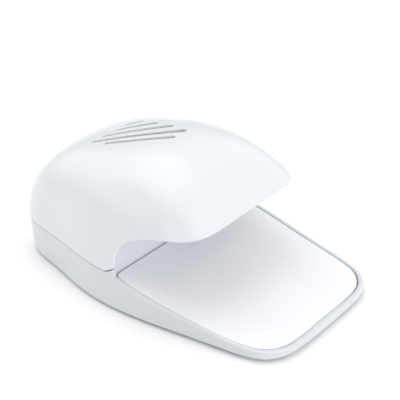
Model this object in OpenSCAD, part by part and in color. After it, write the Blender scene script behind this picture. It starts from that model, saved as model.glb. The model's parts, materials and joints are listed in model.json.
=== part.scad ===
// Palm-sized fan dryer for fingertips: a domed hood over a low tray, a press
// plate that works a switch, a small axial fan and a two-cell battery bay.
// Millimetres. +Z up, front of the tray towards -Y, origin on the ground
// under the middle of the footprint.

/* [Housing] */
// Overall length, front lip of the tray to the rear of the housing
body_len = 161.4; // [160:0.2:165]
// Widest width of the housing
body_w = 99.8; // [99:0.2:104]
// Height of the crest of the hood above the ground
crest_h = 68; // [67.6:0.1:70]
// Height of the seam between hood and base
seam_z = 18; // [18:0.1:18.4]
// Wall thickness of the hood
hood_wall = 2.0; // [1.8:0.1:2.2]
// Wall thickness of the base, which is also the width of the tray rim
base_wall = 2.0; // [1.8:0.1:2.2]
// Thickness of the base floor
floor_t = 1.6; // [1.4:0.1:1.8]
// Height of the feet below the base
foot_h = 1.2; // [1.0:0.1:1.4]
// Width of the open line between hood and base
seam_gap = 0.3; // [0.2:0.1:0.4]

/* [Tray and press plate] */
// Height of the tray rim where it meets the fan chamber
rim_rear_z = 17.5; // [17.2:0.1:17.6]
// Height of the tray rim at the front lip
rim_front_z = 5.0; // [4.7:0.1:5.4]
// How far the tray sags below a straight line between its two ends
rim_sag = 1.7; // [1.5:0.1:1.8]
// Gap between the press plate and the rim
plate_gap = 0.35; // [0.3:0.05:0.5]
// Extra gap at the plate's front corners
corner_gap = 0.4; // [0.2:0.05:0.45]
// How far the plate's top lies below the rim
plate_drop = 0.35; // [0.2:0.05:0.4]
// Thickness of the press plate
plate_t = 1.8; // [1.6:0.1:1.9]
// Distance of the plate's hinge in front of the origin
hinge_y = 64; // [62:0.5:65]
// Height of the plate's hinge
hinge_z = 4.4; // [4.3:0.1:4.5]
// Radius of the plate's hinge pins
pin_r = 0.85; // [0.8:0.05:0.9]
// Running clearance round every pin and shaft
run_c = 0.05; // [0.03:0.01:0.08]

/* [Air vents and outlet] */
// Mean width of the slots in the hood
vent_w = 2.6; // [2:0.1:2.8]
// Height of the slots in the outlet panel
grille_h = 3; // [2:0.2:3.4]
// Pitch of the slots in the outlet panel
grille_pitch = 5.2; // [5:0.1:5.4]
// Radius of the area of slots in the outlet panel
grille_r = 19.5; // [17:0.5:20]

/* [Fan] */
// Height of the fan axis
fan_z = 40; // [39.6:0.1:40.4]
// Radius of the fan blades
blade_r = 19.6; // [18:0.2:19.8]
// Number of blades
blades = 5; // [4:1:7]
// Pitch angle of the blades at the hub
blade_pitch = 42; // [30:1:48]
// Radius of the motor shaft
shaft_r = 1.0; // [0.9:0.05:1.1]

/* [Power] */
// Radius of a battery cell
cell_r = 7.1; // [7:0.05:7.15]
// Length of a battery cell with its button
cell_len = 50.2; // [49.5:0.1:50.4]
// Distance between the axes of the two cells
cell_pitch = 15.4; // [15:0.1:15.6]

/* [Hidden] */
$fn = 48;

kx = body_w/99.8;
ky = body_len/161.4;
kz = (crest_h-seam_z)/50;
wall_y = 5.1;            // front face of the outlet panel
plate_rear = 4.4;        // rear edge of the press plate
corner_r = 2.6;          // radius of its rear corners
floor_z = foot_h+floor_t;
ear_y0 = 3.05;           // front face of the base's ears
ear_y1 = 8.6;            // where the ears start to rise from the seam

// half outline of the base in plan, rear to front, as spline control points
OUT = [[0,81.5],[23.6,79],[38.3,70.7],[40.5,47],[48.5,22],[49.5,-9],[46.1,-39.5],
       [43.1,-68.5],[37,-74.7],[28.6,-80.8],[0,-79.4]];
// the same at the ground: the base spreads a little towards its foot
LOW = [[0,81.5],[23.4,77.6],[37.4,70],[41,47.1],[50.2,22.3],[50.5,-9],[45.5,-39.4],
       [42.6,-68.3],[37.3,-75.2],[28.6,-81],[0,-80.8]];
// half outline of the hood: the same behind, closing in under the visor
HOUT = [for (i=[0:6]) OUT[i], [31,-47.5], [0,-44.5]];
// crest of the hood in side view: [y, z]
CR = [[83,18],[77,39.5],[61,55],[38,63.5],[13,68.5],[-7.5,68],[-26,60.5],[-40,41.5],[-48,18]];
// side view of the cut that opens the hood over the tray: [y, z]
CUT = [[5,11],[3.5,22],[2,34],[-8,41],[-25,44],[-56,46.5]];
// exponents of the hood's cross-sections
px = 0.78;
pz = 0.76;

function lerp(a,b,t) = a+(b-a)*t;
function unit(v) = v/norm(v);
// uniform cubic spline through a padded list
function bs(P,u) = let(i=max(0,min(floor(u),len(P)-4)), t=u-i)
  (pow(1-t,3)*P[i]+(3*t*t*t-6*t*t+4)*P[i+1]+(-3*t*t*t+3*t*t+3*t+1)*P[i+2]+t*t*t*P[i+3])/6;
function padx(P) = let(n=len(P)) [[-P[1].x,P[1].y], each P, [-P[n-2].x,P[n-2].y]];
function padc(P) = let(n=len(P)) [[P[1].x,2*P[0].y-P[1].y], each P, [P[n-2].x,2*P[n-1].y-P[n-2].y]];
function pade(P) = let(n=len(P)) [2*P[0]-P[1], each P, 2*P[n-1]-P[n-2]];
PO = padx([for (p=OUT) [p.x*kx,p.y*ky]]);
PL = padx([for (p=LOW) [p.x*kx,p.y*ky]]);
PH = padx([for (p=HOUT) [p.x*kx,p.y*ky]]);
CY0 = (4*HOUT[0].y+2*HOUT[1].y-2*CR[1].x)/4;
CY8 = (4*HOUT[8].y+2*HOUT[7].y-2*CR[7].x)/4;
PC = padc([for (i=[0:8]) let(p=CR[i], y=i==0?CY0:(i==8?CY8:p.x)) [y*ky, seam_z+(p.y-18)*kz]]);
PK = pade([for (p=CUT) [p.x, seam_z+(p.y-18)*kz]]);

// outline point at parameter u (0 rear, 10 front), moved inwards by d
function on(u,d=0) = let(p=bs(PO,u), e=0.01, t=unit(bs(PO,min(u+e,10))-bs(PO,max(u-e,0))), n=[-t.y,t.x]) p-d*n;
// shift of the outline point at height z
function spread(u,z) = pow(max(0,min(1,1-(z-foot_h)/(seam_z-foot_h))),1.5)*(bs(PL,u)-bs(PO,u));
// closed outline polygon moved inwards by d
function half_out(d) = [for (u=US) on(u,d)];
function full_out(d) = let(h=half_out(d)) [each h, for (i=[NO-1:-1:1]) [-h[i].x,h[i].y]];
// half width of the base at y, moved inwards by d
function solve_u(y,d,a=0,b=10,k=0) = let(m=(a+b)/2) k>26 ? m : (on(m,d).y>y ? solve_u(y,d,m,b,k+1) : solve_u(y,d,a,m,k+1));
function half_w(y,d) = on(solve_u(y,d),d).x;
// parameters of the outline's points, with extra ones where the base's ears rise
US = let(a=[solve_u(ear_y1,0), solve_u(ear_y0+0.35,0), solve_u(ear_y0,0)])
     [for (i=[0:60]) each [i/6, for (k=a) if (k>i/6+0.002 && k<(i+1)/6-0.002) k]];
NO = len(US)-1;

// height of the rim and of the top of the press plate
function rim_z(y) = let(t=max(0,min(1,(4.5-y)/(4.5+80*ky)))) lerp(rim_rear_z,rim_front_z,t)-4*rim_sag*t*(1-t);
function top_z(y) = y>ear_y0+0.1 ? seam_z-seam_gap/2+0.65*max(0,ear_y1-y) : rim_z(y);

// outside of the hood
function hs(u,a) = let(L=bs(PH,u), C=bs(PC,u), c=cos(a), s=sin(a))
  [sign(c)*L.x*pow(abs(c),px), L.y*c*c+C.x*s*s, seam_z+(C.y-seam_z)*pow(s,pz)];
function hn(u,a) = u<0.001 ? [0,1,0] :
  let(e=0.02, f=1, du=hs(min(u+e,8),a)-hs(max(u-e,0),a), da=hs(u,min(a+f,180))-hs(u,max(a-f,0)),
      n=unit(cross(da,du)), m=(a==0||a==180)?unit([n.x,n.y,0]):n) m;
function hp(u,a,w) = w==0 ? hs(u,a) : hs(u,a)-w*hn(u,a);
// height of the side cut at y
function cut_t(y,a=0,b=5,k=0) = let(m=(a+b)/2) k>22 ? m : (bs(PK,m).x>y ? cut_t(y,m,b,k+1) : cut_t(y,a,m,k+1));
// the side cut, and the slanted cut above the base's ears
function cut_z(y) = max(y>5 ? -100 : bs(PK,cut_t(y)).y, y>0 ? seam_z+4.2-0.7*(y-2.9) : -100);
function ucut(a,lo=3,hi=8,k=0) = let(m=(lo+hi)/2, p=hs(m,a)) k>22 ? m :
  (p.z>cut_z(p.y) ? ucut(a,m,hi,k+1) : ucut(a,lo,m,k+1));
// angles across the hood, closer together near the seam and the crest
NA0 = 36;
NA = NA0+4;
NU = 24;
ANG = [for (i=[0:NA0]) let(t=i/NA0, a=180*t-3*sin(720*t)) each (i==0 ? [0,0.9,1.95] : i==NA0 ? [178.05,179.1,180] : [a])];
UC = [for (a=ANG) ucut(a)];

module hood_skin() {
  N1 = 1+NU*(NA+1);
  pts = [for (w=[0,hood_wall]) each [hp(0,90,w), for (r=[1:NU]) for (c=[0:NA])
        let(p=hp(UC[c]*r/NU,ANG[c],w)) (c==0||c==NA) ? [p.x,p.y,seam_z+seam_gap/2] : [p.x,p.y,max(p.z,seam_z+seam_gap/2)]]];
  P2 = [for (i=[0:len(pts)-1]) (i==0||i==N1) ? [pts[i].x,pts[i].y,seam_z+seam_gap/2] : pts[i]];
  function o(r,c) = r==0 ? 0 : 1+(r-1)*(NA+1)+c;
  function n(r,c) = o(r,c)+N1;
  faces = [
    for (c=[0:NA-1]) [0,o(1,c+1),o(1,c)],
    for (c=[0:NA-1]) [N1,n(1,c),n(1,c+1)],
    for (r=[1:NU-1]) for (c=[0:NA-1]) each [[o(r,c),o(r,c+1),o(r+1,c+1)],[o(r,c),o(r+1,c+1),o(r+1,c)]],
    for (r=[1:NU-1]) for (c=[0:NA-1]) each [[n(r,c),n(r+1,c+1),n(r,c+1)],[n(r,c),n(r+1,c),n(r+1,c+1)]],
    for (r=[0:NU-1]) each [[o(r,0),o(r+1,0),n(r+1,0)],[o(r,0),n(r+1,0),n(r,0)]],
    for (r=[0:NU-1]) each [[o(r,NA),n(r+1,NA),o(r+1,NA)],[o(r,NA),n(r,NA),n(r+1,NA)]],
    for (c=[0:NA-1]) each [[o(NU,c),o(NU,c+1),n(NU,c+1)],[o(NU,c),n(NU,c+1),n(NU,c)]]
  ];
  polyhedron(points=P2, faces=[for (f=faces) [f[0],f[2],f[1]]], convexity=6);
}

// closed solid of the hood's full dome, moved inwards by d, for trimming posts
module dome_solid(d, nu=18, na=20) {
  pts = [[0,hp(0,90,d).y,seam_z], for (r=[1:nu-1]) for (c=[0:na]) let(p=hp(8*r/nu,180*c/na,d)) [p.x,p.y,(c==0||c==na)?seam_z:max(p.z,seam_z)], [0,hs(8,90).y+d,seam_z]];
  e = len(pts)-1;
  function o(r,c) = 1+(r-1)*(na+1)+c;
  faces = [
    for (c=[0:na-1]) [0,o(1,c),o(1,c+1)],
    for (r=[1:nu-2]) for (c=[0:na-1]) each [[o(r,c),o(r+1,c+1),o(r,c+1)],[o(r,c),o(r+1,c),o(r+1,c+1)]],
    for (c=[0:na-1]) [e,o(nu-1,c+1),o(nu-1,c)],
    [0, for (r=[nu-1:-1:1]) o(r,na)], [0,e,o(nu-1,na)]
  ];
  bottom = [for (r=[1:nu-1]) o(r,0)];
  bot = [0, for (r=[1:nu-1]) o(r,na), e, for (r=[nu-1:-1:1]) o(r,0)];
  polyhedron(points=pts, faces=[for (i=[0:len(faces)-3]) faces[i], bot], convexity=4);
}

// closed outline on the ground plane, moved inwards by d
module plan(d) { polygon(full_out(d)); }
// outline of the press plate: it keeps further off the rim at its front corners
function gap(u) = plate_gap+corner_gap*pow(max(0,1-pow(abs(u-8.05)/1.6,3)),1.5);
module plate_plan() {
  h = [for (u=US) on(u,base_wall+gap(u))];
  polygon([each h, for (i=[NO-1:-1:1]) [-h[i].x,h[i].y]]);
}
// cylinder along X, centred at x
module xcyl(r,l,x=0) { translate([x,0,0]) rotate([0,90,0]) cylinder(r=r,h=l,center=true); }
// cylinder along -Y from y0 to y1 around the fan axis
module ycyl(r,y0,y1,x=0,z=0) { translate([x,y0,z]) rotate([-90,0,0]) cylinder(r=r,h=y1-y0); }
// strip in side view between two heights given by functions, extruded along X
module side_strip(y0,y1,drop,t,w,n=24) {
  ys = [for (i=[0:n]) lerp(y0,y1,i/n)];
  translate([-w/2,0,0]) rotate([90,0,90]) linear_extrude(w)
    polygon([for (y=ys) [y,rim_z(y)-drop], for (i=[n:-1:0]) [ys[i],rim_z(ys[i])-drop-t]]);
}
function post_xy() = [[38,12],[-38,12],[27,57.5],[-27,57.5]];
function foot_xy() = [[30,-62],[-30,-62],[18,67],[-18,67]];

// path of a vent slot: both ends and a middle control point, in plan
VENTS = [[[-17,34.6],[-12.7,17.5],[-1.65,7.5]],[[-15.9,43.8],[-10.3,21.6],[6.7,8.1]],[[-10.6,41.5],[-2.8,26.4],[8,17]],
         [[-3.1,40],[3.4,32.6],[8.5,26.7]],[[4.5,40.2],[7.2,38.7],[9.9,36.7]]];
function bez(q,t) = (1-t)*(1-t)*q[0]+2*t*(1-t)*q[1]+t*t*q[2];
// the slots widen towards their front ends: width of each at both ends, as a share of vent_w
VENT_ENDS = [[0.6,1.05],[0.65,1.4],[0.7,1.25],[0.75,1.25],[0.8,1]];
module vent_slot(q,e,w,n=8) {
  c = [for (i=[0:n]) bez(q,i/n)];
  h = [for (i=[0:n]) w/2*lerp(e[0],e[1],i/n)];
  m = [for (i=[0:n]) let(t=unit(c[min(i+1,n)]-c[max(i-1,0)])) [-t.y,t.x]*h[i]];
  linear_extrude(80) {
    polygon([for (i=[0:n]) c[i]+m[i], for (i=[n:-1:0]) c[i]-m[i]]);
    translate(c[0]) circle(r=h[0],$fn=24);
    translate(c[n]) circle(r=h[n],$fn=24);
  }
}

// ---- housing ----
module hood_shell() {
  color("white") difference() {
    union() {
      hood_skin();
      intersection() {
        dome_solid(hood_wall/2);
        for (p=post_xy()) translate([p.x,p.y,seam_z+seam_gap/2]) cylinder(r=3.4,h=55);
      }
    }
    for (p=post_xy()) translate([p.x,p.y,seam_z-2]) cylinder(r=1.45,h=14);
    translate([0,0,seam_z+10]) for (i=[0:4]) vent_slot(VENTS[i],VENT_ENDS[i],vent_w);
  }
}

// rings of the base's outside: [0 from the ground, 1 from the top, 2 between; height, inset]
module base_outer() {
  rings = [[0,foot_h,1.2],[0,foot_h+0.25,0.55],[0,foot_h+0.7,0.15],[0,foot_h+1.6,0],[2,0.5,0],[1,-0.8,0],[1,-0.25,0.2],[1,0,0.75]];
  m = 2*NO;
  nr = len(rings);
  b = full_out(0);
  pts = [for (r=rings) let(h=full_out(r[2])) for (i=[0:m-1])
         let(t=top_z(b[i].y), z=r[0]==0 ? r[1] : r[0]==2 ? lerp(foot_h+1.6,t-0.8,r[1]) : t+r[1]*(b[i].y>ear_y0+0.1 ? 0.5 : 1),
             g=spread(US[i<=NO?i:m-i],z)) [h[i].x+(i<=NO?g.x:-g.x),h[i].y+g.y,z]];
  cb = len(pts);
  // inner edge of the top rim, then straight down inside to close the ring
  inr = full_out(base_wall);
  all = [each pts, for (i=[0:m-1]) [inr[i].x,inr[i].y,top_z(full_out(0)[i].y)], for (i=[0:m-1]) [inr[i].x,inr[i].y,floor_z]];
  nn = nr+2;
  faces = [for (k=[0:nn-2]) for (i=[0:m-1]) let(j=(i+1)%m, a=k*m+i, b=k*m+j, c=a+m, d=b+m) each [[a,d,c],[a,b,d]],
           [for (i=[m-1:-1:0]) i], [for (i=[0:m-1]) (nn-1)*m+i]];
  polyhedron(points=all, faces=faces, convexity=8);
}
module door_notch() {
  translate([-31.3,17.6,0]) cube([62.6,34.2,floor_z+0.2]);
  for (x=[-21,21]) translate([x-3.3,14.4,0]) cube([6.6,4,5.6]);
  translate([-6,51.5,0]) cube([12,3.8,floor_z+0.2]);
}
module base_shell() {
  color("white") difference() {
    union() {
      base_outer();
      // battery bay: walls and roof
      translate([-33,18.2,floor_z-0.4]) cube([66,33.8,20-floor_z+0.4]);
      // bosses for the housing screws
      for (p=post_xy()) translate([p.x,p.y,foot_h+0.4]) cylinder(r=3.8,h=seam_z-seam_gap/2-foot_h-0.4);
      // bearing blocks for the battery door
      for (x=[-21,21]) translate([x-6.5,14.2,foot_h+0.2]) cube([13,3.4,3.6]);
      // seats and posts for the plate springs
      for (x=[-26,26]) translate([x,-4,floor_z-0.4]) cylinder(r=2.3,h=3.4);
      // guides at both sides of the switch
      for (y=[-22.4,-14.8]) translate([-3,y,floor_z-0.4]) cube([6,1.2,5.4]);
      // ledges that stop the plate's hooks
      for (s=[-1,1]) translate([s>0?42:-47,-12,8.8]) cube([5,7,1.4]);
      // slots that locate the outlet panel
      for (x=[-24,24]) for (y=[wall_y-1.5,wall_y+2.1]) translate([x-4,y,floor_z-0.4]) cube([8,1.2,3]);
    }
    // battery bay, open below
    translate([-30,19.6,0]) cube([60,30.8,18.4]);
    door_notch();
    for (x=[-21,21]) translate([x,16.6,foot_h+1.5]) xcyl(pin_r-0.05+run_c,10.6);
    // slots for the contact tails
    translate([29.3,25.3,17]) cube([0.6,4,5]);
    translate([29.3,40.7,17]) cube([0.6,4,5]);
    for (p=post_xy()) translate([p.x,p.y,0]) { cylinder(r=1.6,h=30); cylinder(r=2.9,h=6); }
    for (p=foot_xy()) translate([p.x,p.y,0]) cylinder(r=4.6,h=foot_h+0.6);
    for (s=[-1,1]) translate([s*15.3,31,18]) cylinder(r=0.95,h=4);
    // blind bores for the plate's hinge pins
    translate([0,-hinge_y,hinge_z]) xcyl(pin_r+run_c,2*(half_w(-hinge_y,base_wall)+0.9));
  }
}
module press_plate() {
  pw = half_w(-hinge_y,base_wall);
  color("white") union() {
    difference() {
      union() {
        intersection() {
          linear_extrude(30) difference() {
            intersection() {
              plate_plan();
              translate([-60,-100]) square([120,100+plate_rear]);
            }
            for (s=[-1,1]) translate([s*(half_w(plate_rear-corner_r,base_wall+plate_gap)-corner_r),plate_rear-corner_r]) difference() {
              translate([s>0?0:-corner_r-2,0]) square([corner_r+2,corner_r+2]);
              circle(r=corner_r,$fn=48);
            }
          }
          side_strip(-82,6,plate_drop,plate_t-plate_drop,110);
        }
        // stiffening ribs underneath
        for (x=[-14,14]) intersection() {
          translate([x-0.7,-50,0]) cube([1.4,46,30]);
          side_strip(-50,-4,plate_t-0.4,1.8,40,12);
        }
        // lugs that carry the hinge pins
        for (s=[-1,1]) translate([s*(pw-plate_gap-1.6)-1.2,-hinge_y-2,hinge_z-1.2]) cube([2.4,4,1.6]);
        // hooks that catch under the ledges
        for (s=[-1,1]) {
          translate([s*40-0.8,-11,7]) cube([1.6,5,rim_z(-11)-plate_t-7+0.4]);
          translate([s>0?40.8:-44.4,-11,7]) cube([3.6,5,1.6]);
        }
        // boss that presses the switch, and cups over the springs
        translate([0,-18,10.45]) cylinder(r=2,h=1.2);
        for (x=[-26,26]) translate([x,-4,12.8]) difference() { cylinder(r=4.4,h=1.4); translate([0,0,-1]) cylinder(r=3.6,h=4); }
      }
    }
    for (s=[-1,1]) translate([0,-hinge_y,hinge_z]) xcyl(pin_r,2.4,s*(pw-0.5));
  }
}
module outlet_panel() {
  ym = wall_y+0.9;
  function uy(a,lo=0,hi=8,k=0) = let(m=(lo+hi)/2) k>20 ? m : (hp(m,a,hood_wall+0.4).y>ym ? uy(a,m,hi,k+1) : uy(a,lo,m,k+1));
  top = [for (i=[1:29]) let(a=180*i/30, p=hp(uy(a),a,hood_wall+0.4)) [p.x,p.z]];
  wb = half_w(ym,base_wall)-0.3;
  color("white") difference() {
    union() {
      translate([0,wall_y+1.8,0]) rotate([90,0,0]) linear_extrude(1.8)
        polygon([[-wb,floor_z+0.1],[wb,floor_z+0.1],[wb,seam_z],each top,[-wb,seam_z]]);
      for (p=ear_xz()) ycyl(2.4,wall_y+1.4,11,p.x,p.y);
    }
    for (k=[-3:3]) let(z=k*grille_pitch, l=sqrt(grille_r*grille_r-z*z)-grille_h/2) translate([0,wall_y+3,fan_z+z]) rotate([90,0,0]) linear_extrude(4) {
      square([2*l,grille_h],center=true);
      for (s=[-1,1]) translate([s*l,0]) circle(r=grille_h/2,$fn=32);
    }
    for (p=ear_xz()) ycyl(0.85,wall_y+1,12,p.x,p.y);
    for (s=[-1,1]) translate([s*31-2.5,wall_y-1,0]) cube([5,4,9.5]);
  }
}
function ear_xz() = [for (sx=[-1,1]) for (sz=[-1,1]) [sx*22.4,fan_z+sz*11]];

// ---- fan and motor ----
module fan_shroud() {
  color("gainsboro") difference() {
    union() {
      ycyl(22.2,wall_y+1.9,18,0,fan_z);
      for (p=ear_xz()) ycyl(2.6,11,12.4,p.x,p.y);
      for (p=ear_xz()) translate([p.x>0?19.5:-22.4,11,p.y-1.6]) cube([2.9,1.4,3.2]);
    }
    ycyl(blade_r+1.1,wall_y,20,0,fan_z);
    for (p=ear_xz()) ycyl(1.15,10,14,p.x,p.y);
  }
}
module shroud_screws() {
  color("silver") for (p=ear_xz()) union() {
    ycyl(1.9,12.4,13.6,p.x,p.y);
    ycyl(0.85,wall_y+1.9,12.4,p.x,p.y);
  }
}
// one twisted blade as a closed sheet swept from hub to tip
module blade(n=7) {
  st = [for (i=[0:n]) let(r=lerp(5.8,blade_r,i/n), b=blade_pitch*lerp(1,0.52,i/n), ch=lerp(5.2,10.5,sin(90*min(1,i/n*1.15)))/2)
    for (k=[-1,0,1]) let(x=k*ch, up=0.55*(1-k*k)) for (s=[0.4,-0.4])
      let(q=x/r*180/PI*cos(b)) [r*sin(q), r*cos(q), x*sin(b)+up+s]];
  function p(i,k,s) = i*6+k*2+s;
  f = [for (i=[0:n-1]) for (k=[0:1]) each [
      [p(i,k,0),p(i+1,k,0),p(i+1,k+1,0)],[p(i,k,0),p(i+1,k+1,0),p(i,k+1,0)],
      [p(i,k,1),p(i+1,k+1,1),p(i+1,k,1)],[p(i,k,1),p(i,k+1,1),p(i+1,k+1,1)]],
    for (i=[0:n-1]) each [[p(i,0,0),p(i,0,1),p(i+1,0,1)],[p(i,0,0),p(i+1,0,1),p(i+1,0,0)],
      [p(i,2,0),p(i+1,2,1),p(i,2,1)],[p(i,2,0),p(i+1,2,0),p(i+1,2,1)]],
    for (k=[0:1]) each [[p(0,k,0),p(0,k+1,0),p(0,k+1,1)],[p(0,k,0),p(0,k+1,1),p(0,k,1)],
      [p(n,k,0),p(n,k+1,1),p(n,k+1,0)],[p(n,k,0),p(n,k,1),p(n,k+1,1)]]];
  polyhedron(points=st, faces=f, convexity=4);
}
module impeller() {
  color("whitesmoke") translate([0,13,fan_z]) rotate([90,0,0]) difference() {
    union() {
      translate([0,0,-3]) cylinder(r=6.6,h=5.4);
      translate([0,0,2.4]) cylinder(r1=6.6,r2=5.4,h=0.9);
      for (i=[0:blades-1]) rotate([0,0,360*i/blades]) blade();
    }
    translate([0,0,-8]) cylinder(r=shaft_r,h=10);
  }
}
module motor_shaft() { color("silver") ycyl(shaft_r,11.1,44.6,0,fan_z); }
module motor_armature() {
  color("dimgray") translate([0,35,fan_z]) rotate([90,0,0]) linear_extrude(11) difference() {
    circle(r=6.8);
    circle(r=shaft_r);
    for (i=[0:2]) rotate(120*i) {
      translate([0,5.4]) square([1.4,3.4],center=true);
      translate([0,3.9]) square([4.6,2.2],center=true);
    }
  }
}
module motor_windings() {
  color("sienna") for (y=[22.2,35.1]) translate([0,y+1.5,fan_z]) rotate([90,0,0]) difference() {
    cylinder(r=5.6,h=1.5);
    translate([0,0,-1]) cylinder(r=2.6,h=4);
  }
}
module motor_commutator() {
  color("peru") difference() { ycyl(2.4,36.8,40.2,0,fan_z); ycyl(shaft_r,36,41,0,fan_z);
    for (i=[0:2]) translate([0,38.5,fan_z]) rotate([0,120*i,0]) translate([-0.15,-3,1.6]) cube([0.3,6,2]); }
}
module can_form(r,h,y0,y1) { intersection() { ycyl(r,y0,y1,0,fan_z); translate([-r-1,y0-1,fan_z-h/2]) cube([2*r+2,y1-y0+2,h]); } }
module motor_can() {
  color("silver") difference() {
    union() { can_form(10.05,15.1,19,41.5); ycyl(3,17.4,19.2,0,fan_z); }
    can_form(9.45,14,20,42);
    ycyl(shaft_r+run_c,16,21,0,fan_z);
  }
}
module motor_magnets() {
  color("darkslategray") for (s=[-1,1]) intersection() {
    difference() { ycyl(9.4,21.5,37,0,fan_z); ycyl(7.4,21,38,0,fan_z); }
    translate([s>0?4:-12,20,fan_z-5]) cube([8,20,10]);
  }
}
module motor_end_cap() {
  color("ivory") difference() {
    union() { can_form(10.05,15.1,41.5,43.2); can_form(9.3,13.8,39.6,41.6); ycyl(3,43,44.8,0,fan_z); }
    ycyl(shaft_r+run_c,39,46,0,fan_z);
    ycyl(4.2,39,42.2,0,fan_z);
    for (s=[-1,1]) translate([s*6.5-1.2,39,fan_z-0.2]) cube([2.4,6,0.4]);
  }
}
module motor_terminals() {
  color("goldenrod") for (s=[-1,1]) translate([s*6.5-1.2,39.8,fan_z-0.2]) cube([2.4,6.4,0.4]);
}
module motor_mount() {
  color("gainsboro") difference() {
    union() {
      translate([-18,22,20]) cube([36,18,2]);
      translate([-11.5,23,21.5]) cube([23,16,fan_z-7.55-21.5]);
      for (s=[-1,1]) translate([s>0?10.15:-11.95,23,fan_z-8]) cube([1.8,16,7]);
    }
    for (s=[-1,1]) translate([s*15.3,31,19]) cylinder(r=1.15,h=4);
    translate([-7,20,22]) cube([14,22,6.5]);
  }
}
module motor_strap() {
  zt = fan_z+7.55;
  color("silver") difference() {
    translate([0,34,0]) rotate([90,0,0]) linear_extrude(6)
      polygon([[-18,22],[-12.1,22],[-12.1,zt],[12.1,zt],[12.1,22],[18,22],[18,22.8],[12.9,22.8],[12.9,zt+0.8],[-12.9,zt+0.8],[-12.9,22.8],[-18,22.8]]);
    for (s=[-1,1]) translate([s*15.3,31,20]) cylinder(r=1.15,h=4);
  }
}
module motor_screws() {
  color("silver") for (s=[-1,1]) translate([s*15.3,31,0]) union() {
    translate([0,0,22.8]) cylinder(r=2,h=1.3);
    translate([0,0,18.6]) cylinder(r=0.95,h=4.2);
  }
}

// ---- power ----
module cell(dir) {
  // button end at 29.2 on the side given by dir
  x1 = dir*29.2;
  scale_s = dir;
  union() {
    translate([dir>0?29.2-cell_len:-27.8,0,0]) rotate([0,90,0]) cylinder(r=cell_r,h=cell_len-1.4);
    translate([dir>0?27.8:-29.2,0,0]) rotate([0,90,0]) cylinder(r=2.7,h=1.4);
  }
}
module battery_cell_front() { color("dimgray") translate([0,35-cell_pitch/2,10.4]) cell(1); }
module battery_cell_rear() { color("dimgray") translate([0,35+cell_pitch/2,10.4]) cell(-1); }
// conical coil along X, wide at x0 and narrow at x1, swept by functions
module cone_coil(x0,x1,ra,rb,wr,turns,n=14,m=5) {
  N = turns*n;
  ctr = [for (i=[0:N]) let(t=i/N, a=360*i/n, r=lerp(ra,rb,t)) [lerp(x0,x1,t), r*cos(a), r*sin(a)]];
  pts = [for (i=[0:N]) let(d=unit(ctr[min(i+1,N)]-ctr[max(i-1,0)]), s=unit(cross(d,[1,0,0])), v=cross(d,s))
         for (k=[0:m-1]) ctr[i]+wr*(cos(360*k/m)*s+sin(360*k/m)*v)];
  sw = x1>x0 ? 1 : 0;
  f = [for (i=[0:N-1]) for (k=[0:m-1]) let(j=(k+1)%m, a=i*m+k, b=i*m+j) each [[a,a+m,b+m],[a,b+m,b]],
       [for (k=[0:m-1]) k], [for (k=[m-1:-1:0]) N*m+k]];
  polyhedron(points=pts, faces=f, convexity=10);
}
module contact_plate(x,y,tail) {
  union() {
    translate([x-0.2,y-6,4.4]) cube([0.4,12,12]);
    if (tail) translate([x-0.2,y-1.5,16]) cube([0.4,3,6.6]);
  }
}
module contact_positive() { color("silver") contact_plate(29.6,35-cell_pitch/2,true); }
module contact_negative() {
  color("silver") union() { contact_plate(29.6,35+cell_pitch/2,true);
    translate([0,35+cell_pitch/2,10.4]) cone_coil(29.2,29.2-(58.4-cell_len)+0.7,4.6,2.6,0.35,4); }
}
module contact_jumper() {
  color("silver") union() {
    translate([-29.8,35-cell_pitch/2-6,4.4]) cube([0.4,cell_pitch+12,12]);
    translate([0,35-cell_pitch/2,10.4]) cone_coil(-29.2,-29.2+(58.4-cell_len)-0.7,4.6,2.6,0.35,4);
  }
}
module battery_door() {
  zb = foot_h+0.1;
  color("white") union() {
    difference() {
      translate([-31,18.5,zb]) cube([62,33,1.5]);
      // finger grooves by the latch
      for (k=[0:3]) translate([0,47.5-1.8*k,zb]) xcyl(0.35,14);
    }
    // hinge lugs and pins
    for (x=[-21,21]) translate([x,0,0]) {
      translate([-3,16.6,zb+0.2]) cube([6,2.4,1.3]);
      translate([0,16.6,foot_h+1.5]) xcyl(pin_r-0.05,8.6);
      translate([0,16.6,foot_h+1.5]) xcyl(1.2,6);
    }
    // latch tongue
    translate([-5,51.3,zb]) cube([10,3.2,1.5]);
    translate([-5,52.8,zb+1.2]) cube([10,1.1,3.6]);
    // pads that keep the cells in place
    for (y=[27.3,42.7]) for (x=[-12,12]) translate([x-3,y-4,zb+1.3]) cube([6,8,0.5]);
  }
}

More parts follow.
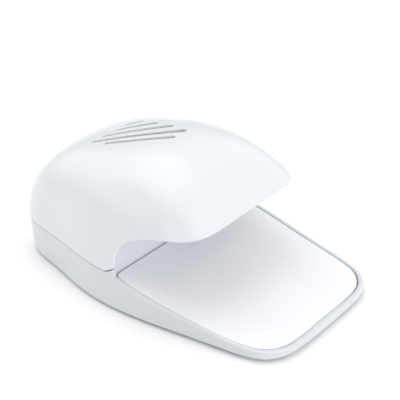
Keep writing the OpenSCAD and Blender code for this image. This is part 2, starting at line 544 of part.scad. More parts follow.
// ---- switch and springs ----
module switch_body() {
  color("dimgray") difference() {
    translate([-6.4,-21,floor_z]) cube([12.8,6,6.1]);
    translate([0,-18,floor_z+1]) cylinder(r=1.5+run_c,h=8);
    for (s=[-1,1]) translate([s>0?5.2:-6.6,-19,floor_z+1.5]) cube([1.4,2,0.4]);
  }
}
module switch_plunger() {
  color("firebrick") translate([0,-18,0]) union() {
    translate([0,0,5.4]) cylinder(r=1.5,h=4.6);
    translate([0,0,10]) cylinder(r1=1.5,r2=1.2,h=0.3);
  }
}
module switch_terminals() {
  color("goldenrod") for (s=[-1,1]) translate([s>0?5.2:-8.6,-19,floor_z+1.5]) cube([3.4,2,0.4]);
}
module plate_spring(x) {
  n = 14; turns = 5; m = 5; N = turns*n; z0 = floor_z+0.4; z1 = rim_z(-4)-plate_t-0.6; r = 2.9; wr = 0.32;
  ctr = [for (i=[0:N]) let(t=i/N) [r*cos(360*i/n), r*sin(360*i/n), lerp(z0,z1,t)]];
  pts = [for (i=[0:N]) let(a=360*i/n, e=[cos(a),sin(a),0]) for (k=[0:m-1]) ctr[i]+wr*(cos(360*k/m)*e+[0,0,sin(360*k/m)])];
  f = [for (i=[0:N-1]) for (k=[0:m-1]) let(j=(k+1)%m, a=i*m+k, b=i*m+j) each [[a,b+m,a+m],[a,b,b+m]],
       [for (k=[m-1:-1:0]) k], [for (k=[0:m-1]) N*m+k]];
  translate([x,-4,0]) polyhedron(points=pts, faces=f, convexity=10);
}
module plate_spring_left() { color("silver") plate_spring(-26); }
module plate_spring_right() { color("silver") plate_spring(26); }

// ---- wiring: round leads swept along smooth routes ----
LEAD_A = [[29.6,27.3,23.2],[31,22,22.6],[31,16,20],[31,13,12],[31,10.5,6.2],[31,5,4.6],[31,-7,4.4],[20,-15,4.4],[9.3,-18,4.5]];
LEAD_B = [[-9.3,-18,4.5],[-20,-15,4.4],[-31,-7,4.4],[-31,5,4.6],[-31,10.5,6.2],[-31,13,12],[-31,16,20],[-29,26,26],[-21,39,33],[-12,48,38],[-6.5,48.6,39.8],[-6.5,46.9,40]];
LEAD_C = [[29.6,42.7,23.2],[27,46,27],[18,50,35],[9,49.5,39.4],[6.5,46.9,40]];
module lead(P, r=0.7, per=3, m=8) {
  Q = pade(P);
  n = per*(len(P)-1);
  c = [for (i=[0:n]) bs(Q,i/per)];
  pts = [for (i=[0:n]) let(d=unit(c[min(i+1,n)]-c[max(i-1,0)]), h=abs(d.z)>0.9?[1,0,0]:[0,0,1], s=unit(cross(d,h)), v=cross(d,s))
         for (k=[0:m-1]) c[i]+r*(cos(360*k/m)*s+sin(360*k/m)*v)];
  f = [for (i=[0:n-1]) for (k=[0:m-1]) let(j=(k+1)%m, a=i*m+k, b=i*m+j) each [[a,a+m,b+m],[a,b+m,b]],
       [for (k=[0:m-1]) k], [for (k=[m-1:-1:0]) n*m+k]];
  polyhedron(points=pts, faces=f, convexity=8);
}
module lead_battery_to_switch() { color("crimson") lead(LEAD_A); }
module lead_switch_to_motor() { color("crimson") lead(LEAD_B); }
module lead_battery_to_motor() { color("black") lead(LEAD_C); }

// ---- fasteners and feet ----
module housing_screws() {
  color("silver") for (p=post_xy()) translate([p.x,p.y,0]) difference() {
    union() {
      translate([0,0,4]) cylinder(r=2.7,h=2);
      translate([0,0,6]) cylinder(r=1.4,h=20);
    }
    for (a=[0,90]) translate([0,0,4.4]) rotate(a) cube([2.8,0.7,1.2],center=true);
  }
}
module rubber_feet() { color("lightgray") for (p=foot_xy()) translate([p.x,p.y,0]) cylinder(r=4.5,h=foot_h+0.55); }

hood_shell();
base_shell();
press_plate();
outlet_panel();
fan_shroud();
shroud_screws();
impeller();
motor_shaft();
motor_armature();
motor_windings();
motor_commutator();
motor_can();
motor_magnets();
motor_end_cap();
motor_terminals();
motor_mount();
motor_strap();
motor_screws();
battery_cell_front();
battery_cell_rear();
contact_positive();
contact_negative();
contact_jumper();
battery_door();
switch_body();
switch_plunger();
switch_terminals();
plate_spring_left();
plate_spring_right();
lead_battery_to_switch();
lead_switch_to_motor();
lead_battery_to_motor();
housing_screws();
rubber_feet();
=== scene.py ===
import json
import math
import bpy
import bmesh
import numpy as np
from mathutils import Matrix, Vector
from mathutils.bvhtree import BVHTree
from mathutils.geometry import delaunay_2d_cdt


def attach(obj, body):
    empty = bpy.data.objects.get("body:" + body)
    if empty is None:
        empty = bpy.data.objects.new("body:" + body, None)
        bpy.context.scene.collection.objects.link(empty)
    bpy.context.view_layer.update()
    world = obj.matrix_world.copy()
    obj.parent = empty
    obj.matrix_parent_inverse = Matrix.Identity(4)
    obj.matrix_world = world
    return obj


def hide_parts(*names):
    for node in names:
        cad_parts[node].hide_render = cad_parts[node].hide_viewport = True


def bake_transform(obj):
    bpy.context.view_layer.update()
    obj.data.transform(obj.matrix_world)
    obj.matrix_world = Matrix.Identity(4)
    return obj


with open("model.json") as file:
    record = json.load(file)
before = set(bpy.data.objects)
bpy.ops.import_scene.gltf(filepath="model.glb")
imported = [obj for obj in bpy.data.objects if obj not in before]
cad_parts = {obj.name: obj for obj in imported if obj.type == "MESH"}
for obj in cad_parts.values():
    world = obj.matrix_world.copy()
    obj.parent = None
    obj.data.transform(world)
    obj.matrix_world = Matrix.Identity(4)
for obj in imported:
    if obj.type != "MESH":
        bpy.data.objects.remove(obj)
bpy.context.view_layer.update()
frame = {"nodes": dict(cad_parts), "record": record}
SCN = bpy.context.scene
MM = 0.001

# ---------------------------------------------------------------- dimensions
# The same numbers as the CAD source, in millimetres.
SEAM_Z, SEAM_GAP = 18.0, 0.3
HOOD_WALL, BASE_WALL = 2.0, 2.0
FOOT_H, FLOOR_T = 1.2, 1.6
FLOOR_Z = FOOT_H + FLOOR_T
RIM_REAR, RIM_FRONT, RIM_SAG = 17.5, 5.0, 1.7
PLATE_GAP, PLATE_T, PLATE_REAR, CORNER_R = 0.35, 1.8, 4.4, 2.6
CORNER_GAP, PLATE_DROP = 0.4, 0.35
EAR_Y0, EAR_Y1 = 3.05, 8.6
HINGE_Y, HINGE_Z = 64.0, 4.4
PIN_R, RUN_C = 0.85, 0.05
WALL_Y, FAN_Z = 5.1, 40.0
VENT_W, GRILLE_H, GRILLE_PITCH, GRILLE_R = 2.6, 3.0, 5.2, 19.5
BLADE_R, BLADES, BLADE_PITCH, SHAFT_R = 19.6, 5, 42.0, 1.0
CELL_R, CELL_LEN, CELL_PITCH = 7.1, 50.2, 15.4

OUT = [[0, 81.5], [23.6, 79], [38.3, 70.7], [40.5, 47], [48.5, 22], [49.5, -9], [46.1, -39.5],
       [43.1, -68.5], [37, -74.7], [28.6, -80.8], [0, -79.4]]
LOW = [[0, 81.5], [23.4, 77.6], [37.4, 70], [41, 47.1], [50.2, 22.3], [50.5, -9], [45.5, -39.4],
       [42.6, -68.3], [37.3, -75.2], [28.6, -81], [0, -80.8]]
HOUT = OUT[:7] + [[31, -47.5], [0, -44.5]]
CR = [[83, 18], [77, 39.5], [61, 55], [38, 63.5], [13, 68.5], [-7.5, 68], [-26, 60.5], [-40, 41.5], [-48, 18]]
CUT = [[5, 11], [3.5, 22], [2, 34], [-8, 41], [-25, 44], [-56, 46.5]]
PX, PZ = 0.78, 0.76
POSTS = [(38, 12), (-38, 12), (27, 57.5), (-27, 57.5)]
FEET = [(30, -62), (-30, -62), (18, 67), (-18, 67)]
EARS = [(sx * 22.4, FAN_Z + sz * 11) for sx in (-1, 1) for sz in (-1, 1)]
VENTS = [[[-17, 34.6], [-12.7, 17.5], [-1.65, 7.5]], [[-15.9, 43.8], [-10.3, 21.6], [6.7, 8.1]],
         [[-10.6, 41.5], [-2.8, 26.4], [8, 17]], [[-3.1, 40], [3.4, 32.6], [8.5, 26.7]], [[4.5, 40.2], [7.2, 38.7], [9.9, 36.7]]]
VENT_ENDS = [[0.6, 1.05], [0.65, 1.4], [0.7, 1.25], [0.75, 1.25], [0.8, 1.0]]

# ---------------------------------------------------------------- curves
def bs(P, u):
    P = np.asarray(P, float)
    u = np.asarray(u, float)
    i = np.clip(np.floor(u).astype(int), 0, len(P) - 4)
    t = (u - i)[..., None]
    return ((1 - t) ** 3 * P[i] + (3 * t ** 3 - 6 * t ** 2 + 4) * P[i + 1]
            + (-3 * t ** 3 + 3 * t ** 2 + 3 * t + 1) * P[i + 2] + t ** 3 * P[i + 3]) / 6


def padx(P):
    return [[-P[1][0], P[1][1]]] + P + [[-P[-2][0], P[-2][1]]]


def padc(P):
    return [[P[1][0], 2 * P[0][1] - P[1][1]]] + P + [[P[-2][0], 2 * P[-1][1] - P[-2][1]]]


def pade(P):
    P = [list(map(float, p)) for p in P]
    return [[2 * a - b for a, b in zip(P[0], P[1])]] + P + [[2 * a - b for a, b in zip(P[-1], P[-2])]]


CR = [list(p) for p in CR]
CR[0][0] = (4 * HOUT[0][1] + 2 * HOUT[1][1] - 2 * CR[1][0]) / 4
CR[8][0] = (4 * HOUT[8][1] + 2 * HOUT[7][1] - 2 * CR[7][0]) / 4
PO, PL, PH, PC, PK = padx(OUT), padx(LOW), padx(HOUT), padc(CR), pade(CUT)


def outline(u, d=0.0):
    """Point on the base's half outline at u (0 rear, 10 front), moved inwards by d."""
    u = np.asarray(u, float)
    p = bs(PO, u)
    e = 0.01
    t = bs(PO, np.minimum(u + e, 10)) - bs(PO, np.maximum(u - e, 0))
    t /= np.linalg.norm(t, axis=-1, keepdims=True)
    n = np.stack([-t[..., 1], t[..., 0]], -1)
    return p - d * n


def half_w(y, d):
    a, b = 0.0, 10.0
    for _ in range(40):
        m = (a + b) / 2
        if outline(m, d)[1] > y:
            a = m
        else:
            b = m
    return float(outline(a, d)[0])


def rim_z(y):
    t = np.clip((4.5 - np.asarray(y, float)) / 84.5, 0, 1)
    return RIM_REAR + (RIM_FRONT - RIM_REAR) * t - 4 * RIM_SAG * t * (1 - t)


def hs(u, a):
    """Outside of the hood, a in radians across it."""
    L, C = bs(PH, u), bs(PC, u)
    c, s = np.cos(a), np.maximum(np.sin(a), 0)
    return np.stack([np.sign(c) * L[..., 0] * np.abs(c) ** PX,
                     L[..., 1] * c * c + C[..., 0] * s * s,
                     SEAM_Z + (C[..., 1] - SEAM_Z) * s ** PZ], -1)


def hn(u, a):
    e, f = 0.01, math.radians(0.5)
    du = hs(np.minimum(u + e, 8), a) - hs(np.maximum(u - e, 0), a)
    da = hs(u, np.minimum(a + f, math.pi)) - hs(u, np.maximum(a - f, 0))
    n = np.cross(da, du)
    return n / np.maximum(np.linalg.norm(n, axis=-1, keepdims=True), 1e-12)


_kt = np.linspace(0, 5, 4001)
_kp = bs(PK, _kt)


def cut_z(y):
    y = np.asarray(y, float)
    z = np.interp(-y, -_kp[:, 0], _kp[:, 1])
    # the slanted cut above the base's ears
    slant = np.where(y > 0, SEAM_Z + 4.2 - 0.7 * (y - 2.9), -100.0)
    return np.maximum(np.where(y > 5, -100.0, z), slant)


# ---------------------------------------------------------------- mesh tools
class Build:
    """Collects faces in millimetres and joins equal points."""

    def __init__(self):
        self.v, self.key, self.f = [], {}, []

    def vid(self, p):
        k = (round(float(p[0]) * 5e3), round(float(p[1]) * 5e3), round(float(p[2]) * 5e3))
        i = self.key.get(k)
        if i is None:
            i = self.key[k] = len(self.v)
            self.v.append((float(p[0]), float(p[1]), float(p[2])))
        return i

    def face(self, pts):
        ids = []
        for p in pts:
            i = self.vid(p)
            if not ids or ids[-1] != i:
                ids.append(i)
        while len(ids) > 1 and ids[0] == ids[-1]:
            ids.pop()
        if len(ids) >= 3 and len(set(ids)) == len(ids):
            self.f.append(ids)

    def grid(self, G, wrap=False):
        R, C = len(G), len(G[0])
        for r in range(R - 1):
            for c in range(C if wrap else C - 1):
                d = (c + 1) % C
                self.face([G[r][c], G[r][d], G[r + 1][d], G[r + 1][c]])

    def obj(self, name, fix=True):
        me = bpy.data.meshes.new(name)
        me.from_pydata([(x * MM, y * MM, z * MM) for x, y, z in self.v], [], self.f)
        ob = bpy.data.objects.new(name, me)
        SCN.collection.objects.link(ob)
        if fix:
            bm = bmesh.new()
            bm.from_mesh(me)
            bmesh.ops.recalc_face_normals(bm, faces=bm.faces)
            if bm.calc_volume(signed=True) < 0:
                bmesh.ops.reverse_faces(bm, faces=bm.faces)
            bm.to_mesh(me)
            bm.free()
        return ob


def loft(name, rings, fix=True):
    """Closed solid through rings of equal length, capped at both ends."""
    b = Build()
    b.grid(rings, wrap=True)
    b.face(rings[0])
    b.face(rings[-1])
    return b.obj(name, fix)


def ring_at(poly, z):
    return [(p[0], p[1], z) for p in poly]


def inset(poly, d):
    """Closed polygon, counter-clockwise, moved inwards by d (outwards if negative)."""
    P = np.asarray(poly, float)
    e1 = P - np.roll(P, 1, 0)
    e2 = np.roll(P, -1, 0) - P
    e1 /= np.maximum(np.linalg.norm(e1, axis=1, keepdims=True), 1e-9)
    e2 /= np.maximum(np.linalg.norm(e2, axis=1, keepdims=True), 1e-9)
    n1 = np.stack([-e1[:, 1], e1[:, 0]], 1)
    n2 = np.stack([-e2[:, 1], e2[:, 0]], 1)
    n = n1 + n2
    n /= np.maximum((n * n1).sum(1, keepdims=True), 0.3)
    return P + d * n


def rrect(x0, y0, x1, y1, r, n=6):
    """Rectangle with rounded corners, counter-clockwise."""
    r = min(r, (x1 - x0) / 2 - 1e-3, (y1 - y0) / 2 - 1e-3)
    pts = []
    for cx, cy, a0 in ((x1 - r, y1 - r, 0), (x0 + r, y1 - r, 90), (x0 + r, y0 + r, 180), (x1 - r, y0 + r, 270)):
        for k in range(n + 1):
            a = math.radians(a0 + 90 * k / n)
            pts.append((cx + r * math.cos(a), cy + r * math.sin(a)))
    return pts


def circle(x, y, r, n=40):
    return [(x + r * math.cos(2 * math.pi * k / n), y + r * math.sin(2 * math.pi * k / n)) for k in range(n)]


def prism(name, poly, levels):
    """Solid with the polygon inset by d at each (z, d)."""
    return loft(name, [ring_at(inset(poly, d) if d else poly, z) for z, d in levels])


def soft_levels(z0, z1, r0, r1, n=4):
    """Levels of an upright solid with its bottom edge rounded by r0 and its top edge by r1."""
    out = []
    if r0 > 0:
        out += [(z0 + r0 * (1 - math.cos(t)), r0 * (1 - math.sin(t))) for t in np.linspace(0, math.pi / 2, n + 1)]
    else:
        out.append((z0, 0))
    if r1 > 0:
        out += [(z1 - r1 * (1 - math.sin(t)), r1 * (1 - math.cos(t))) for t in np.linspace(0, math.pi / 2, n + 1)]
    else:
        out.append((z1, 0))
    return out


def box(x0, y0, z0, x1, y1, z1, r=0.0, e=0.0, name="tmp"):
    """Upright box with corners of radius r in plan and edges rounded by e."""
    return prism(name, rrect(x0, y0, x1, y1, r) if r else [(x0, y0), (x1, y0), (x1, y1), (x0, y1)],
                 soft_levels(z0, z1, e, e, 3))


def turned(name, prof, n=48, axis="z", at=(0, 0, 0)):
    """Solid of revolution from a profile of (radius, height) pairs, first and last on the axis or capped."""
    rings = []
    for r, h in prof:
        ring = []
        for k in range(n):
            a = 2 * math.pi * k / n
            p = (r * math.cos(a), r * math.sin(a), h)
            if axis == "x":
                p = (p[2], p[0], p[1])
            elif axis == "y":
                p = (p[1], p[2], p[0])
            ring.append((p[0] + at[0], p[1] + at[1], p[2] + at[2]))
        rings.append(ring)
    return loft(name, rings)


def tube(name, pts, r, m=12):
    """Round bar along a path."""
    P = np.asarray(pts, float)
    T = np.gradient(P, axis=0)
    T /= np.linalg.norm(T, axis=1, keepdims=True)
    ref = np.array([0, 0, 1.0]) if abs(T[0][2]) < 0.9 else np.array([1.0, 0, 0])
    s = np.cross(T[0], ref)
    s /= np.linalg.norm(s)
    rings = []
    for p, t in zip(P, T):
        s = s - t * np.dot(s, t)
        s /= np.linalg.norm(s)
        v = np.cross(t, s)
        rings.append([tuple(p + r * (math.cos(2 * math.pi * k / m) * s + math.sin(2 * math.pi * k / m) * v)) for k in range(m)])
    return loft(name, rings)


def drop(ob):
    me = ob.data
    bpy.data.objects.remove(ob)
    bpy.data.meshes.remove(me)


def csg(ob, steps):
    """Adds or cuts solids in order. steps is [(operation, [solids])]."""
    used = []
    for op, tools in steps:
        for t in tools:
            m = ob.modifiers.new("b", "BOOLEAN")
            m.operation, m.solver, m.object = op, "MANIFOLD", t
            used.append(t)
    bpy.context.view_layer.update()
    me = bpy.data.meshes.new_from_object(ob.evaluated_get(bpy.context.evaluated_depsgraph_get()))
    ob.modifiers.clear()
    old = ob.data
    name = old.name
    ob.data = me
    bpy.data.meshes.remove(old)
    me.name = name
    for t in used:
        drop(t)
    return ob


def tidy(ob, deg=32):
    """Joins points that fall together and marks hard edges, so curved faces shade smoothly."""
    bm = bmesh.new()
    bm.from_mesh(ob.data)
    bmesh.ops.remove_doubles(bm, verts=bm.verts, dist=2e-7)
    bmesh.ops.dissolve_degenerate(bm, edges=bm.edges, dist=1e-7)
    lim = math.radians(deg)
    for f in bm.faces:
        f.smooth = True
    for e in bm.edges:
        e.smooth = not (len(e.link_faces) == 2 and e.calc_face_angle(0) > lim)
    bm.to_mesh(ob.data)
    bm.free()
    return ob


def merge(name, obs):
    """One object from several separate solids."""
    bm = bmesh.new()
    for o in obs:
        bm.from_mesh(o.data)
    me = bpy.data.meshes.new(name)
    bm.to_mesh(me)
    bm.free()
    for o in obs:
        drop(o)
    ob = bpy.data.objects.new(name, me)
    SCN.collection.objects.link(ob)
    return ob


# ---------------------------------------------------------------- hood
NC, NU = 180, 132
BOT = SEAM_Z + SEAM_GAP / 2           # underside of the hood
EDGE = 0.35                           # rounding along the seam
LIP = 0.85                            # rounding of the visor's edge


def low_angle(u):
    """Angle at which the surface leaves the band along the seam."""
    h = np.maximum(bs(PC, u)[..., 1] - SEAM_Z, 1e-9)
    return np.arcsin(np.clip(((BOT + EDGE - SEAM_Z) / h) ** (1 / PZ), 0, 1))


_ra = np.linspace(0, math.pi / 2, 6000)
_rp = np.stack([49 * np.cos(_ra) ** PX, 50 * np.sin(_ra) ** PZ], 1)
_rs = np.concatenate([[0], np.cumsum(np.linalg.norm(np.diff(_rp, axis=0), axis=1))])
ALPHA = np.interp(np.linspace(0, _rs[-1], NC // 2 + 1), _rs, _ra)


def col_angle(u, j):
    """Angle of column j at u."""
    k = np.minimum(j, NC - j)
    al = ALPHA[k]
    lo = low_angle(u)
    a = lo + al * (math.pi / 2 - lo) / (math.pi / 2)
    return np.where(j <= NC // 2, a, math.pi - a)


def make_hood():
    J = np.arange(NC + 1)
    lo, hi = np.full(NC + 1, 3.0), np.full(NC + 1, 8.0)
    for _ in range(50):
        m = (lo + hi) / 2
        p = hs(m, col_angle(m, J))
        keep = p[:, 2] > cut_z(p[:, 1])
        lo, hi = np.where(keep, m, lo), np.where(keep, hi, m)
    uc = lo
    edge = hs(uc, col_angle(uc, J))
    et = np.gradient(edge, axis=0)
    et /= np.linalg.norm(et, axis=1, keepdims=True)
    ue = uc.copy()
    for _ in range(3):
        a = col_angle(ue, J)
        n = hn(ue, a)
        d = 0.01
        du = (hs(ue + d, col_angle(ue + d, J)) - hs(ue - d, col_angle(ue - d, J))) / (2 * d)
        t = np.cross(n, et)
        t /= np.linalg.norm(t, axis=1, keepdims=True)
        t *= np.sign((t * du).sum(1))[:, None]
        ue = uc - LIP / np.maximum((t * du).sum(1), 1.0)
    P1 = hs(ue, col_angle(ue, J))
    n1 = hn(ue, col_angle(ue, J))
    t1 = np.cross(n1, et)
    t1 /= np.linalg.norm(t1, axis=1, keepdims=True)
    t1 *= np.sign((t1 * du).sum(1))[:, None]
    for k in (0, NC):
        n1[k, 2] = t1[k, 2] = 0
        n1[k] /= np.linalg.norm(n1[k])
        t1[k] /= np.linalg.norm(t1[k])
    U1 = 0.3
    zb = BOT + EDGE

    def skin(w):
        rows = []
        for r in range(NU + 1):
            u = U1 + (ue - U1) * r / NU
            a = col_angle(u, J)
            p = hs(u, a) - w * hn(u, a)
            if r == NU:
                p = P1 - w * n1
            p[[0, NC], 2] = zb
            rows.append(p)
        return rows

    def nose(w):
        """Half disc next to the pole, from the seam band up to U1."""
        KP = 8
        aj = col_angle(np.full(NC + 1, U1), J)
        lo, hi = np.zeros(NC + 1), np.full(NC + 1, U1)
        for _ in range(50):
            m = (lo + hi) / 2
            up = hs(m, aj)[:, 2] > zb
            lo, hi = np.where(up, lo, m), np.where(up, m, hi)
        us = hi
        us[0] = us[NC] = U1
        rows = []
        for k in range(KP + 1):
            u = us + (U1 - us) * k / KP
            n = hn(u, aj)
            if w and k == 0:
                n[:, 2] = 0
                n /= np.linalg.norm(n, axis=1, keepdims=True)
            p = hs(u, aj) - w * n
            if k == 0:
                p[:, 2] = zb
            rows.append(p)
        return rows

    b = Build()
    so, si = skin(0), skin(HOOD_WALL)
    no, ni = nose(0), nose(HOOD_WALL)
    no[-1], ni[-1] = so[0], si[0]
    for k in range(len(no)):
        for c in (0, NC):
            no[k][c], ni[k][c] = so[0][c], si[0][c]
    for G in (so, si, no, ni):
        b.grid(G)
    # rounded edge of the visor
    K = 7
    arcs = []
    for k in range(K):
        th = math.pi / 2 * k / (K - 1)
        arcs.append(P1 - LIP * n1 + LIP * (math.cos(th) * n1 + math.sin(th) * t1))
    for k in range(K):
        th = math.pi / 2 * k / (K - 1)
        arcs.append(P1 - (HOOD_WALL - LIP) * n1 + LIP * (math.cos(th) * t1 - math.sin(th) * n1))
    arcs[0], arcs[-1] = so[-1], si[-1]
    for A in arcs:
        A[0][2] = A[NC][2] = zb
    b.grid(arcs)
    # band along the seam: one closed loop, outside first
    lo_out = [so[r][0] for r in range(NU, -1, -1)] + [no[0][c] for c in range(1, NC)] + [so[r][NC] for r in range(NU + 1)]
    lo_in = [si[r][0] for r in range(NU, -1, -1)] + [ni[0][c] for c in range(1, NC)] + [si[r][NC] for r in range(NU + 1)]
    tipA = [A[NC] for A in arcs[1:-1]]
    tipB = [A[0] for A in arcs[1:-1]]
    loop = lo_out + tipA + lo_in[::-1] + tipB[::-1]
    M = len(lo_out)
    keep, last = [], None
    P = np.array(loop)[:, :2]
    # normals of the closed loop
    e = np.roll(P, -1, 0) - np.roll(P, 1, 0)
    e /= np.maximum(np.linalg.norm(e, axis=1, keepdims=True), 1e-9)
    area = 0.5 * np.sum(P[:, 0] * np.roll(P[:, 1], -1) - np.roll(P[:, 0], -1) * P[:, 1])
    nrm = np.stack([-e[:, 1], e[:, 0]], 1) * (1 if area > 0 else -1)
    rings = []
    for th in np.linspace(0, math.pi / 2, 5):
        q = P + nrm * EDGE * (1 - math.cos(th))
        rings.append([(x, y, zb - EDGE * math.sin(th)) for x, y in q])
    rings[0] = [tuple(p) for p in loop]
    b.grid(rings, wrap=True)
    R = rings[-1]
    ro, ra, ri, rb = R[:M], R[M:M + len(tipA)], R[M + len(tipA):2 * M + len(tipA)][::-1], R[2 * M + len(tipA):]
    b.grid([ro, ri])
    b.face([ro[-1]] + ra + [ri[-1]])
    b.face([ro[0], ri[0]] + rb)
    return b, so


hb, hood_out = make_hood()
hood = hb.obj("hood")
hood_tree = BVHTree.FromPolygons([Vector(v) for v in hb.v], hb.f)


def crest(x, y):
    hit = hood_tree.ray_cast(Vector((x, y, 200)), Vector((0, 0, -1)))
    return hit[0].z


def bez(q, t):
    q = np.asarray(q, float)
    return (1 - t) ** 2 * q[0] + 2 * t * (1 - t) * q[1] + t * t * q[2]


def slot_poly(q, e, w0, n=22, m=12):
    """Outline of a slot that widens towards its front end."""
    c = [bez(q, i / n) for i in range(n + 1)]
    w = [w0 * (e[0] + (e[1] - e[0]) * i / n) for i in range(n + 1)]
    t = [c[min(i + 1, n)] - c[max(i - 1, 0)] for i in range(n + 1)]
    t = [v / np.linalg.norm(v) for v in t]
    s = [np.array([-v[1], v[0]]) for v in t]
    pts = [c[i] - s[i] * w[i] / 2 for i in range(n + 1)]
    a0 = math.atan2(-s[n][1], -s[n][0])
    pts += [c[n] + w[n] / 2 * np.array([math.cos(a0 + math.pi * k / m), math.sin(a0 + math.pi * k / m)]) for k in range(1, m)]
    pts += [c[i] + s[i] * w[i] / 2 for i in range(n, -1, -1)]
    a1 = math.atan2(s[0][1], s[0][0])
    pts += [c[0] + w[0] / 2 * np.array([math.cos(a1 + math.pi * k / m), math.sin(a1 + math.pi * k / m)]) for k in range(1, m)]
    return pts


def vent_cutter(q, e):
    poly = slot_poly(q, e, VENT_W)
    r = 0.35
    rings = []
    specs = [(0, -9.0), (0, -r)]
    specs += [(r * (1 - math.cos(t)), -r * (1 - math.sin(t))) for t in (0.45, 0.9, 1.22)]
    specs += [(r * (1 - math.cos(1.22)) + 0.35, 0.35), (r + 0.6, 4.0)]
    for o, dz in specs:
        pp = inset(poly, -o)
        rings.append([(x, y, crest(x, y) + dz) for x, y in pp])
    return loft("tmp", rings)


def post(x, y):
    """Screw post that grows into the hood's wall."""
    ring = circle(x, y, 3.4, 36)
    top = []
    for px, py in ring:
        hit = hood_tree.ray_cast(Vector((px, py, 200)), Vector((0, 0, -1)))
        top.append((px, py, (hit[0].z if hit[0] else 40) - 1.3))
    return loft("tmp", [ring_at(ring, BOT), ring_at(ring, BOT + 6), top])


csg(hood, [("UNION", [post(*p) for p in POSTS]),
           ("DIFFERENCE", [prism("tmp", circle(x, y, 1.45, 28), [(BOT - 1, 0), (BOT + 12, 0)]) for x, y in POSTS]),
           ("DIFFERENCE", [vent_cutter(q, e) for q, e in zip(VENTS, VENT_ENDS)])])
tidy(hood)

# ---------------------------------------------------------------- base
def solve_u(y):
    a, b = 0.0, 10.0
    for _ in range(50):
        m = (a + b) / 2
        a, b = (m, b) if outline(m)[1] > y else (a, m)
    return a


# parameters of the outline's points, closer together at the base's ears
UO = np.linspace(0, 10, 231)
_near = [solve_u(y) for y in np.concatenate([np.linspace(EAR_Y0 - 0.05, EAR_Y0 + 0.45, 11), np.linspace(3.8, EAR_Y1 + 0.6, 10)])]
UO = np.sort(np.concatenate([UO[(UO < _near[-1] - 0.005) | (UO > _near[0] + 0.005)], _near]))
NO = len(UO) - 1


def full_outline(d):
    h = outline(UO, d)
    h[0, 0] = h[-1, 0] = 0
    return np.concatenate([h, np.stack([-h[1:-1][::-1, 0], h[1:-1][::-1, 1]], 1)])


def make_base():
    b0 = full_outline(0)
    y = b0[:, 1]
    # the ears: the rim steps up in front of the hood's corner and falls back to the seam
    k = np.clip((y - EAR_Y0) / 0.4, 0, 1)
    k = k * k * (3 - 2 * k)
    fall = EAR_Y1 - y
    fall = 0.65 * 0.5 * (fall + np.sqrt(fall * fall + 0.25))
    top = rim_z(y) * (1 - k) + (SEAM_Z - SEAM_GAP / 2 + fall) * k
    ro = 0.75 * (1 - k) + EDGE * k
    dl = bs(PL, UO) - bs(PO, UO)
    dl[0, 0] = dl[-1, 0] = 0
    dl = np.concatenate([dl, np.stack([-dl[1:-1][::-1, 0], dl[1:-1][::-1, 1]], 1)])

    def low(h, z):
        """The base spreads a little towards its foot."""
        f = np.clip(1 - (z - FOOT_H) / (SEAM_Z - FOOT_H), 0, 1) ** 1.5
        return np.column_stack([h + dl * f[:, None], z])

    rings = []
    for th in np.linspace(0, math.pi / 2, 9):
        h = full_outline(1.2 * (1 - math.sin(th)))
        rings.append(low(h, np.full(len(h), FOOT_H + 1.6 * (1 - math.cos(th)))))
    for f in (0.12, 0.25, 0.4, 0.55, 0.7, 0.85):
        rings.append(low(b0, (FOOT_H + 1.6) * (1 - f) + (top - ro) * f))

    def ins(dv):
        h = outline(UO, 0)
        q = outline(UO, 1.0)
        n = h - q
        hv = h - n * dv[:NO + 1, None]
        hv[0, 0] = hv[-1, 0] = 0
        return np.concatenate([hv, np.stack([-hv[1:-1][::-1, 0], hv[1:-1][::-1, 1]], 1)])

    for th in np.linspace(0, math.pi / 2, 7):
        rings.append(low(ins(ro * (1 - math.cos(th))), top - ro * (1 - math.sin(th))))
    ri = 0.4
    for th in np.linspace(0, math.pi / 2, 4):
        rings.append(np.column_stack([full_outline(BASE_WALL - ri * (1 - math.sin(th))), top - ri * (1 - math.cos(th))]))
    inner = full_outline(BASE_WALL)
    rings.append(np.column_stack([inner, np.full(len(inner), FLOOR_Z + 0.6)]))
    for th in np.linspace(0, math.pi / 2, 4)[1:]:
        rings.append(np.column_stack([full_outline(BASE_WALL + 0.6 * (1 - math.cos(th))), np.full(len(inner), FLOOR_Z + 0.6 * (1 - math.sin(th)))]))
    return loft("base", [[tuple(p) for p in r] for r in rings])


def zc(x, y, z0, z1, r, n=32):
    return prism("tmp", circle(x, y, r, n), [(z0, 0), (z1, 0)])


def xbar(r, x0, x1, y, z, n=24):
    return turned("tmp", [(r, x0), (r, x1)], n, "x", (0, y, z))


base = make_base()
adds = [box(-33, 18.2, FLOOR_Z - 0.4, 33, 52, 20, 1.0)]
adds += [zc(x, y, FOOT_H + 0.4, SEAM_Z - SEAM_GAP / 2, 3.8) for x, y in POSTS]
adds += [box(x - 6.5, 14.2, FOOT_H + 0.2, x + 6.5, 17.6, FOOT_H + 3.8) for x in (-21, 21)]
adds += [zc(x, -4, FLOOR_Z - 0.4, FLOOR_Z + 3.0, 2.3) for x in (-26, 26)]
adds += [box(-3, y, FLOOR_Z - 0.4, 3, y + 1.2, FLOOR_Z + 5) for y in (-22.4, -14.8)]
adds += [box(42 if s > 0 else -47, -12, 8.8, 47 if s > 0 else -42, -5, 10.2) for s in (-1, 1)]
adds += [box(x - 4, y, FLOOR_Z - 0.4, x + 4, y + 1.2, FLOOR_Z + 2.6) for x in (-24, 24) for y in (WALL_Y - 1.5, WALL_Y + 2.1)]
flare = [(-1, -0.5), (FOOT_H - 0.2, -0.5), (FOOT_H + 0.3, 0)]
cuts = [box(-30, 19.6, -1, 30, 50.4, 18.4, 0.6)]
cuts += [prism("tmp", rrect(-31.3, 17.6, 31.3, 51.8, 0.9), flare + [(FLOOR_Z + 0.2, 0)])]
